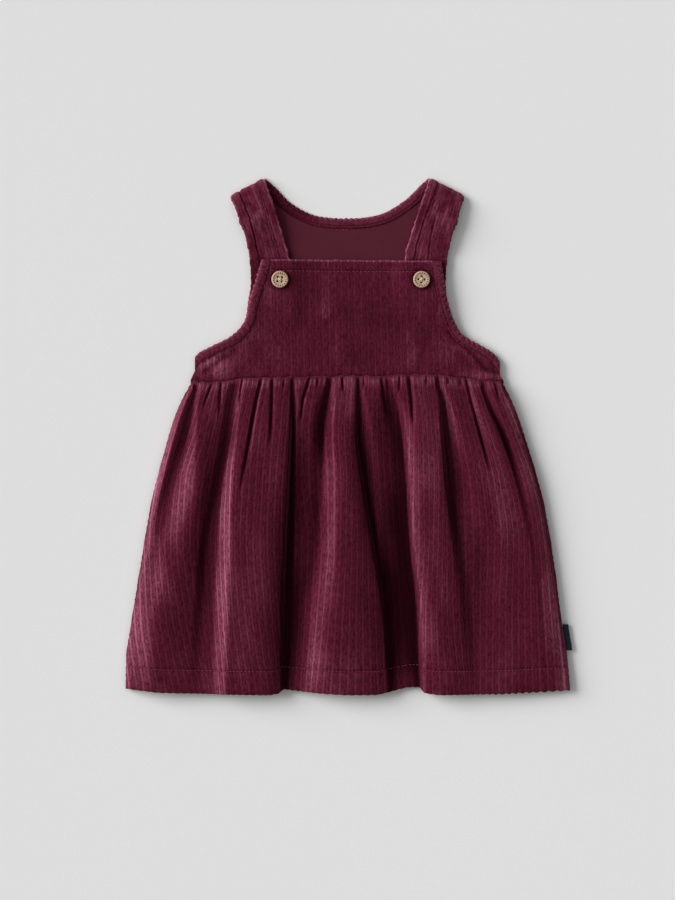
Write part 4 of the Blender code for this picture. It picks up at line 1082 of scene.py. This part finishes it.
def build_bodice_front():
    outline = bodice_outline()
    fine_x = np.linspace(WING_LEFT[0], WING_RIGHT[0], 1600)
    foot_x = spread(fine_x, 0.4 * np.interp(fine_x, *outline.T), BODICE_COLUMNS)
    foot_y = waist_y(foot_x) + SEAM_GAP / 2
    head_x = foot_x + smooth((-104.0 - foot_x) / 18.7) * (WING_LEFT[1] - WING_LEFT[0])
    head_x += smooth((foot_x - 104.0) / 15.7) * (WING_RIGHT[1] - WING_RIGHT[0])
    head_y = np.interp(head_x, *outline.T)
    # Rows run up from the waist seam, as shares of the way to the upper edge
    shares = np.array((0.0, 0.022, 0.035, *np.linspace(0.05, 0.89, 72), *np.linspace(0.895, 0.925, 9),
                       0.94, 0.955, 0.967, 0.977, 0.984, 0.990, 0.9945, 0.998, 1.0))[:, None]
    x = foot_x + (head_x - foot_x) * shares
    y = foot_y + (head_y - foot_y) * shares
    base = bodice_height(x, y)
    to_seam = y - foot_y
    to_top = bib_top(x) - y
    armhole = np.vstack([outline[:-1] + (outline[1:] - outline[:-1]) * s for s in (0.0, 1 / 3, 2 / 3)])
    to_edge = np.full_like(x, 1e9)
    for edge_x, edge_y in armhole:
        to_edge = np.minimum(to_edge, (x - edge_x) ** 2 + (y - edge_y) ** 2)
    to_edge = np.sqrt(to_edge)
    bib = (x > -61.5) & (x < 65.0) & (y > 100.0)
    hem_stitch = bib * bell(to_top - BIB_HEM, 0.8)
    hem_fold = bib * smooth((BIB_HEM - to_top - 0.5) / 1.2)
    count = (x + 0.02 * (y - 90.0)) / WALE_PITCH
    rise = wale_rise(count, 0.85 + 0.6 * hem_fold)
    rise += 0.09 * unevenness(x, y, (1.3, 1.7), 41) + 0.16 * unevenness(x, y, (10.0, 17.0), 42)
    rise += 0.25 * hem_fold - 0.45 * hem_stitch
    rise -= rolled(to_edge, 0.7) + rolled(to_seam, 0.7)
    puckers = np.cos(math.tau * (x / 9.5 + 0.6 * np.sin(x / 23.0))) * np.exp(-to_seam / 5.0)
    rise += 0.34 * puckers * smooth(to_seam / 1.2)
    crease_shade = np.zeros_like(x)
    for points, depth, half_width in BODICE_CREASES:
        off_crease = distance_to(points, x, y) / half_width
        rise -= depth * bell(off_crease, 1.0) - 0.45 * depth * bell(off_crease - 2.1, 1.1)
        crease_shade = np.maximum(crease_shade, 0.45 * depth * bell(off_crease, 1.0))
    # Painted light and shade: painted shade in the creases and along the waist and armhole seams, random
    # patches, the marks' patches, and a painted highlight along the bib's top edge
    closed = 1.1 * crease_shade + 0.18 * unevenness(x, y, (9.0, 16.0), 43) - paler_by_marks(x, y, NAP_AND_PAINTED_LIGHT_MARKS)
    closed += 0.15 * np.exp(-to_seam / 0.8) + 0.06 * np.exp(-to_edge / 0.7) + 0.07
    closed -= 0.75 * bib * bell(to_top, 1.1)
    for _, button_x, button_y in BUTTON_PLACES:
        off_button = np.hypot(x - button_x, y - button_y)
        rise -= 0.55 * smooth((10.5 - off_button) / 4.0)
        # Painted shade in a ring round each button
        closed += 0.6 * smooth((9.4 - off_button) / 2.6)
    # The pile frays the turned top edge
    fray = 0.28 * unevenness(x, y, (1.2, 3.0), 44) + 0.22 * unevenness(x, y, (2.9, 3.0), 45)
    cloth = np.dstack((count, -y / WALE_PITCH))
    top = base + CLOTH + rise
    y = y + bib * (0.2 + fray) * np.exp(-np.maximum(to_top, 0.0) / 0.8) - 0.2 * np.exp(-to_seam / 0.6)
    return cloth_piece("bodice_front_velour", np.dstack((x, y, top)), cloth, np.dstack((x, y, base)),
                       (brushed_velour, velour_inside), np.clip(closed, -1.0, 1.0))


brushed_velour = velour("brushed_velour", lines_show=0.28)
bodice_front = build_bodice_front()
x = np.linspace(-61.0, 64.5, 200)
y = bib_top(x) - BIB_HEM
bib_line = np.column_stack((x, y, bodice_height(x, y) + CLOTH - 0.25))
bib_stitches = stitch_row("bib_stitches", bib_line, wine_thread, 0.16)
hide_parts("bodice_front")


# ================================================================ front armhole bindings
# The same ribbed strips on the front panel, from the underarm up to the top corners of the bib.

FRONT_BAND_TOP = 2.9
FRONT_SECTION = ((0.0, 1.2), (0.6, 2.3), (2.2, FRONT_BAND_TOP), (4.4, FRONT_BAND_TOP), (6.4, 2.65),
                 (BAND_WIDTH + 0.6, 2.45), (BAND_WIDTH + 0.5, 2.15), (BAND_WIDTH - SEAM_GAP, 1.9),
                 (BAND_WIDTH - SEAM_GAP, 0.1), (3.4, 0.0), (0.7, 0.2))

for side, inward, smooth_run in (("left", 1, 5.0), ("right", -1, 22.0)):
    edge = curve_through(ARMHOLE_FRONT[side], 0.5)
    top_cut = ((0.0, BIB_TOP[side]), (0.0, 1.0))
    # Turned in with the bib's hem, it looks all one with the bib there
    in_hem = smooth((edge[:, 1] - BIB_TOP[side] + BIB_HEM - 2.0 + smooth_run) / smooth_run)
    strip = binding("armhole_binding_front_" + side, edge, FRONT_SECTION, inward, bodice_height,
                    armhole_ribs(50 + inward), (top_cut, WING_CUT[side]), groove=6.0, plain=in_hem)
    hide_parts("armhole_band_front_" + side)


# ================================================================ straps
# Wide straps of velour, each turned over the shoulder fold and brought down under the bib. A sewn
# band runs along one side, and a twin row of stitches or a second seam along the other.

STRAP_CLOTH = 2.0
STRAP_WIDTH = 29.5
STRAP_LENGTH = 74.0
STRAP_COLUMNS = 61
LEG_STEP = 0.5
# Radius of the turn over the shoulder, and how high the strap arches between it and the bib's edge
STRAP_TURN = 2.7
STRAP_ARCH = 2.6
BIB_EDGE_ON_STRAP = 48.0

# Front of each strap from the shoulder fold down to its end under the bib: outer and inner edge
STRAP_EDGES = {
    "left": (((-92.1, 186.3), (-65.4, 200.6)), ((-87.4, 174.8), (-59.9, 184.6)),
             ((-81.1, 157.7), (-54, 165.5)), ((-77.2, 140.7), (-48, 145.5)),
             ((-76, 128.3), (-44.5, 130)), ((-75.6, 112), (-42.8, 112))),
    "right": (((89.4, 186.5), (62.4, 200.6)), ((85.9, 174.8), (57.2, 184.6)),
              ((80.5, 157.7), (51, 165.5)), ((76.4, 140.7), (44.8, 145.5)),
              ((75, 128.3), (42.4, 130)), ((74.6, 112), (41.6, 112))),
}
# Seams along each strap: distances from the fold and shares of the way across, depth, half width,
# and where the seam starts to show
STRAP_SEAMS = {
    "left": ((((-8, 0.255), (0, 0.26), (12, 0.27), (30, 0.255), (48, 0.235)), 0.85, 0.016, -20),
             (((-8, 0.74), (4, 0.755), (22, 0.725), (34, 0.70), (48, 0.70)), 0.32, 0.010, -20),
             (((-8, 0.80), (4, 0.805), (22, 0.79), (34, 0.775), (48, 0.775)), 0.32, 0.010, -20)),
    "right": ((((-8, 0.73), (6, 0.735), (16, 0.75), (30, 0.79), (48, 0.78)), 0.60, 0.014, -20),
              (((10, 0.58), (20, 0.55), (30, 0.53), (40, 0.50), (48, 0.465)), 0.60, 0.018, 21)),
}


def across_strap(side, distance, share):
    """Plan points for a whole grid of distances and shares."""
    edges = np.array(STRAP_EDGES[side])
    ends = []
    for k in (0, 1):
        leg = curve_through(edges[:, k], LEG_STEP)
        stretch = ((len(leg) - 1) * LEG_STEP / STRAP_LENGTH - 1.0) * distance / STRAP_LENGTH
        mark = distance * (1.0 + stretch) / LEG_STEP
        beyond = np.minimum(mark, 0.0)
        ends.append([np.interp(mark, np.arange(len(leg)), leg[:, i]) + beyond * (leg[1, i] - leg[0, i])
                     for i in (0, 1)])
    return np.dstack([ends[0][i] + (ends[1][i] - ends[0][i]) * share for i in (0, 1)])


def strap_path():
    """Rows along the strap, from its rear end over the fold and under the bib: distance from the
    fold, height of the middle of the cloth, and which way out is along the strap and upwards."""
    half = STRAP_CLOTH / 2
    path = [(d, half, 0.0, -1.0) for d in np.linspace(REAR_REACH, STRAP_TURN + 0.4, 6)]
    for angle in np.linspace(-math.pi / 2, math.pi / 2, 17):
        reach, lift = math.cos(angle), math.sin(angle)
        path.append((STRAP_TURN - (STRAP_TURN - half) * reach, STRAP_TURN + (STRAP_TURN - half) * lift,
                     -reach, lift))
    for d in np.linspace(STRAP_TURN + 0.6, STRAP_LENGTH, 98):
        arch = STRAP_ARCH * math.sin(math.pi * min(1.0, d / BIB_EDGE_ON_STRAP))
        path.append((d, 2 * STRAP_TURN - half + arch, 0.0, 1.0))
    return np.array(path).T[:, :, None]


def build_strap(side):
    half = STRAP_CLOTH / 2
    distance, height, out_along, out_up = strap_path()
    share = np.broadcast_to(np.linspace(0.0, 1.0, STRAP_COLUMNS), (len(distance), STRAP_COLUMNS))
    # Length along the strap, counted from the top of the fold, backwards on the rear leg
    run = np.where(out_up < 0.0, -distance, distance)
    in_across = STRAP_WIDTH * share
    in_along = run + 100.0
    from_edge = STRAP_WIDTH * np.minimum(share, 1.0 - share)
    count = in_across / WALE_PITCH + (0.30 if side == "left" else 0.10)
    rise = 0.8 * wale_rise(count) - rolled(from_edge, 1.0)
    rise += 0.10 * unevenness(in_across, in_along, (1.3, 1.7), 61)
    rise += 0.32 * unevenness(in_across, in_along, (6.0, 9.0), 62)
    # A pale rim of painted highlight along the strap's edges, and more at the shoulder fold
    rim = 0.40 + 0.35 * unevenness(in_across, in_along, (4.0, 1.6), 66)
    closed = -0.10 - rim * bell(from_edge, 1.3) - 0.60 * bell(run + 0.5, 2.6)
    closed += 0.20 * unevenness(in_across, in_along, (4.5, 6.5), 65)
    for line, depth, half_width, start in STRAP_SEAMS[side]:
        wander = 0.016 * unevenness(in_along, 30.0 * depth, (2.4, 5.0), 67)
        off_seam = (share - np.interp(run, *np.array(line).T) - wander) / half_width
        shown = depth * smooth((run - start) / 10.0)
        rise += shown * (0.28 * bell(np.abs(off_seam) - 2.2, 1.2) - bell(off_seam, 1.0))
        # Painted shade in the seam's groove
        closed += 0.8 * shown * bell(off_seam, 1.1)
    if side == "left":
        # The twin row of stitches pinches its edge into a ladder
        rise += 0.16 * np.cos(math.tau * run / 2.6) * bell(share - 0.765, 0.03)
    else:
        # The cloth is crumpled between this strap's two seams
        between = smooth((run - 8.0) / 12.0) * bell(share - 0.66, 0.13)
        rise += 0.55 * between * unevenness(in_across - 0.35 * run, in_along, (2.4, 5.5), 69)
    above_bib = across_strap(side, distance + 0.0 * share, share)[:, :, 1] - BIB_TOP[side]
    above_bib = np.where(out_up > 0.9, above_bib, 99.0)
    under_bib = smooth((2.6 - above_bib) / 2.0)
    rise = rise * (1.0 - under_bib) - 0.10 * under_bib
    rise *= np.where(out_up < -0.3, 0.15, np.where(out_up < 0.3, 0.6, 1.0))
    # The strap's band and its tip stand a little proud of the fold
    proud = 0.3 * bell(share - 0.12, 0.09) + 0.7 * bell(share - 0.93, 0.06)
    proud += 0.55 * unevenness(in_across, 0.0, (2.6, 3.0), 68)
    if side == "left":
        proud -= 0.7 * bell(share - 0.27, 0.03)
    reach = half + rise + proud * bell(run, 3.0) * (1.0 - np.abs(out_up))
    # The corners of the shoulder are round, and the pile frays the outline
    corner = np.clip(1.0 - from_edge / 5.5, 0.0, 1.0) ** 2 * bell(run, 5.0)
    fray = 0.56 * unevenness(in_along, share * 9.0, (1.3, 2.0), 63)
    fray += 0.50 * unevenness(in_along, share * 9.0, (2.6, 4.0), 64)
    frayed = share + np.sign(share - 0.5) * fray * np.exp(-from_edge / 1.2) / STRAP_WIDTH
    plan = across_strap(side, distance + out_along * reach + 1.6 * corner, frayed)
    outer = np.dstack((plan, height + out_up * reach))
    plan = across_strap(side, distance - out_along * half + 1.6 * corner, share)
    inner = np.dstack((plan, height - out_up * half + 0.0 * share))
    cloth = np.dstack((count, run / WALE_PITCH + 0.0 * count))
    # Towards the bib the strap dips under it, with painted shade next to the bib's edge
    closed = np.clip(closed + 0.45 * np.exp(-np.maximum(above_bib, 0.0) / 1.0), -1.0, 1.0)
    return cloth_piece("strap_" + side + "_velour", outer, cloth, inner, [brushed_velour] * 2, closed)


for side in ("left", "right"):
    strap = build_strap(side)
    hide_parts("strap_" + side)


# ================================================================ buttons
# Coconut-shell buttons with four holes, turned, their rims marked all round with short burnt ticks.
# Each is sewn through the bib and the strap with cream thread.

BUTTON_RADIUS = 6.5
BUTTON_THICKNESS = 2.6
BUTTON_TICKS = 17.0
# The wales of the bib hold the button up by this much
WALE_RISE = 0.3
HOLE_RING = 2.2
HOLE_RADIUS = 0.9
HOLE_TURN = {"button_left": 40.0, "button_right": 87.0}
THREAD_RADIUS = 0.24

pale_thread = sewing_thread("pale_thread", (0.45, 0.38, 0.32), (0.78, 0.72, 0.64))


def coconut(name, centre):
    """Pale turned shell: fine brown flecks, and a ring of burnt ticks at three quarters of the radius."""
    shell = Finish(name, 0.48, 0.35)
    centred = shell.node("Mapping", "Vector", (("Vector", shell.place), ("Location", centre)))
    x = shell.axis(centred, "X")
    y = shell.axis(centred, "Y")
    flat = shell.node("CombineXYZ", 0, ((0, x), (1, y)))
    length = shell.node("VectorMath", "Value", ((0, flat),), operation="LENGTH")
    radius = shell.math("MULTIPLY", length, 1000.0 / BUTTON_RADIUS)
    turn = shell.math("MULTIPLY", shell.math("ARCTAN2", y, x), BUTTON_TICKS / math.tau)
    wobble = shell.noise(centred, 900.0, 2.0)
    tick = shell.layered(shell.math("PINGPONG", turn, 0.5), (wobble, 0.22))
    off_ring = shell.math("ABSOLUTE", shell.math("SUBTRACT", radius, 0.735))
    burnt = shell.math("MULTIPLY", shell.eased(tick, 0.35, 0.27), shell.eased(off_ring, 0.115, 0.075))
    grain = shell.noise(centred, 520.0, 4.0, 0.7)
    tone = shell.layered(-0.30, (shell.noise(centred, 160.0, 2.0), 0.7), (grain, 0.8))
    bare = shell.mixed(tone, (0.33, 0.205, 0.118), (0.68, 0.49, 0.345))
    colour = shell.mixed(burnt, bare, (0.060, 0.026, 0.012))
    return shell.done(colour, shell.layered(grain, (burnt, -1.2)), 0.5, 0.00012)


def build_button(name, x, y):
    """A turned disc with a rounded rim, a dished face and four drilled holes."""
    base = float(bodice_height(np.array((x,)), np.array((y,)))[0]) + CLOTH + WALE_RISE + SEAM_GAP
    # The turned outline: how far in from the rim, and how far below the top
    profile = [(BUTTON_RADIUS, BUTTON_THICKNESS), (1.0, BUTTON_THICKNESS), (0.45, BUTTON_THICKNESS - 0.15),
               (0.1, BUTTON_THICKNESS - 0.6), (0.0, BUTTON_THICKNESS - 1.2), (0.0, 0.8), (0.15, 0.4),
               (0.5, 0.08), (1.0, 0.0), (1.5, 0.08), (2.0, 0.30), (2.7, 0.42), (BUTTON_RADIUS, 0.5)]
    bm = bmesh.new()
    ring = [bm.verts.new(((BUTTON_RADIUS - r) * MM, 0.0, (BUTTON_THICKNESS - z) * MM)) for r, z in profile]
    edges = [bm.edges.new(pair) for pair in zip(ring, ring[1:])]
    bmesh.ops.spin(bm, geom=ring + edges, cent=(0, 0, 0), axis=(0, 0, 1), angle=math.tau, steps=72,
                   use_merge=True)
    bmesh.ops.remove_doubles(bm, verts=bm.verts[:], dist=1e-7)
    bmesh.ops.recalc_face_normals(bm, faces=bm.faces[:])
    bmesh.ops.translate(bm, verts=bm.verts[:], vec=(x * MM, y * MM, base * MM))
    shell = coconut(name + "_shell", (-x * MM, -y * MM, 0.0))
    button = make_piece(name + "_shell", bm, shell, smooth_angle=40.0)
    drill = bmesh.new()
    holes = []
    for k in range(4):
        angle = math.radians(HOLE_TURN[name] + 90.0 * k)
        holes.append(np.array((x + HOLE_RING * math.cos(angle), y + HOLE_RING * math.sin(angle))))
        bmesh.ops.create_cone(drill, cap_ends=True, segments=20, radius1=HOLE_RADIUS * MM,
                              radius2=HOLE_RADIUS * MM, depth=8.0 * MM,
                              matrix=Matrix.Translation((*(holes[-1] * MM), base * MM)))
    bits = add_mesh("drill", drill)
    cut = button.modifiers.new("thread_holes", "BOOLEAN")
    cut.operation = "DIFFERENCE"
    cut.object = bits
    drilled = bpy.data.meshes.new_from_object(button.evaluated_get(bpy.context.evaluated_depsgraph_get()))
    button.modifiers.clear()
    button.data = drilled
    bpy.data.objects.remove(bits, do_unlink=True)
    thread = bmesh.new()
    for first, second in (holes[::2], holes[1::2]):
        for offset in (-THREAD_RADIUS, THREAD_RADIUS):
            lay_thread(thread, first, second, offset, base + BUTTON_THICKNESS - 0.55)
    return button, make_piece(name + "_thread", thread, pale_thread)


def lay_thread(bm, first, second, offset, level):
    """A thread that comes up through one hole and goes down through another."""
    middle = (first + second) / 2
    reach = 0.80 * (second - first) / 2
    along = reach / np.hypot(*reach)
    aside = np.array((-along[1], along[0]))
    points = []
    for u in np.linspace(-1.0, 1.0, 11):
        rise = 0.42 * (1.0 - u ** 4) + 0.22 * bell(u, 0.32)
        points.append(Vector((*(middle + reach * u + aside * offset), level + rise)))
    for end in (points[0], points[-1]):
        end.z -= 1.2
    rows = []
    for k, point in enumerate(points):
        ahead = points[min(k + 1, 10)] - points[max(k - 1, 0)]
        turn = ahead.to_track_quat("Z", "Y")
        rows.append([point + turn @ Vector((THREAD_RADIUS * math.cos(a), THREAD_RADIUS * math.sin(a), 0.0))
                     for a in np.linspace(0.0, math.tau, 9)])
    lay_cloth(bm, np.array(rows))
    close_up(bm)


for name, x, y in BUTTON_PLACES:
    button, crossed = build_button(name, x, y)
    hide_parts(name)


# ================================================================ side tab
# A bare folded tab of navy satin ribbon with fine close ridges, caught in the right side seam near
# the hem.

TAB_SPAN_Y = (-165.6, -145.4)
TAB_REACH = 4.4
TAB_THICKNESS = 1.3

ribbon = Finish("navy_ribbon", 0.55, 0.12)
ridges = ribbon.node("TexWave", "Fac", (("Vector", ribbon.place), ("Scale", 640.0), ("Distortion", 0.6)),
                     bands_direction="Y")
tone = ribbon.math("MULTIPLY", ribbon.layered(ridges, (ribbon.noise(ribbon.place, 1400.0, 2.0), 0.7)), 0.6)
colour = ribbon.mixed(tone, (0.0045, 0.0065, 0.0105), (0.015, 0.023, 0.037))
navy_ribbon = ribbon.done(colour, tone, 0.6, 0.00012)

half = TAB_THICKNESS / 2
section = rounded(((0.0, -half), (TAB_REACH - 0.5, -half), (TAB_REACH, 0.0), (TAB_REACH - 0.5, half),
                   (0.0, half), (-0.3, 0.0)))
section = np.vstack((section, section[:1]))
rows = []
for y in np.linspace(*TAB_SPAN_Y, 41):
    near = side_edges(y)[1] + SEAM_GAP + 0.4
    reach = 1.0 - 0.02 * math.sin((y - TAB_SPAN_Y[0]) * 0.9)
    z = side_seam_z(y) + 0.10 * math.sin(y * 0.33)
    rows.append(np.column_stack((near + section[:, 0] * reach, np.full(len(section), y), z + section[:, 1])))
bm = bmesh.new()
lay_cloth(bm, np.array(rows))
close_up(bm)
side_tab = make_piece("side_tab", bm, navy_ribbon)
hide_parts("side_label")


# ================================================================ floor, light and camera
# A pale studio table under one large soft lamp low on the upper left and a weaker one overhead.

FLOOR_SIZE = 24.0
FLOOR_DROP = 0.0002
CAMERA_HEIGHT = 3.0
VIEW_HEIGHT = 0.6975

paper = Finish("studio_paper", 0.9, 0.1)
studio_paper = paper.done(paper.mixed(paper.noise(paper.place, 2.0, 1.0), [0.795] * 3, [0.805] * 3))
bm = bmesh.new()
bmesh.ops.create_grid(bm, x_segments=4, y_segments=4, size=FLOOR_SIZE / 2)
bmesh.ops.translate(bm, verts=bm.verts[:], vec=(0.0, 0.0, -FLOOR_DROP))
add_mesh("floor", bm, studio_paper)

# Each lamp is a large distant soft box: way it comes from, counted anticlockwise from +X, height of
# the lamp in degrees, strength and how wide it spreads
for name, azimuth, elevation, strength, width in (("key_lamp", 160.0, 27.0, 3.75, 40.0),
                                                  ("overhead_lamp", 180.0, 86.0, 1.05, 120.0)):
    lamp = bpy.data.lights.new(name, "SUN")
    lamp.energy = strength
    lamp.angle = math.radians(width)
    around, up = math.radians(azimuth), math.radians(elevation)
    towards = Vector((math.cos(around) * math.cos(up), math.sin(around) * math.cos(up), math.sin(up)))
    add_object(name, lamp).rotation_euler = towards.to_track_quat("Z", "Y").to_euler()

world = bpy.data.worlds.new("studio")
world.use_nodes = True
world.node_tree.nodes["Background"].inputs["Color"].default_value = (1.0, 1.0, 1.0, 1.0)
world.node_tree.nodes["Background"].inputs["Strength"].default_value = 0.03
bpy.context.scene.world = world

# The camera looks straight down, a little to the left of the dress's middle and below it
camera_data = bpy.data.cameras.new("camera")
camera_data.sensor_width = 36.0
camera_data.lens = 36.0 * CAMERA_HEIGHT / VIEW_HEIGHT
camera = add_object("camera", camera_data)
camera.location = (-0.0089, -0.0105, CAMERA_HEIGHT)
bpy.context.scene.camera = camera

look = bpy.context.scene.view_settings
look.view_transform = "Standard"
look.look = "None"
look.exposure = 0.0
look.gamma = 1.0
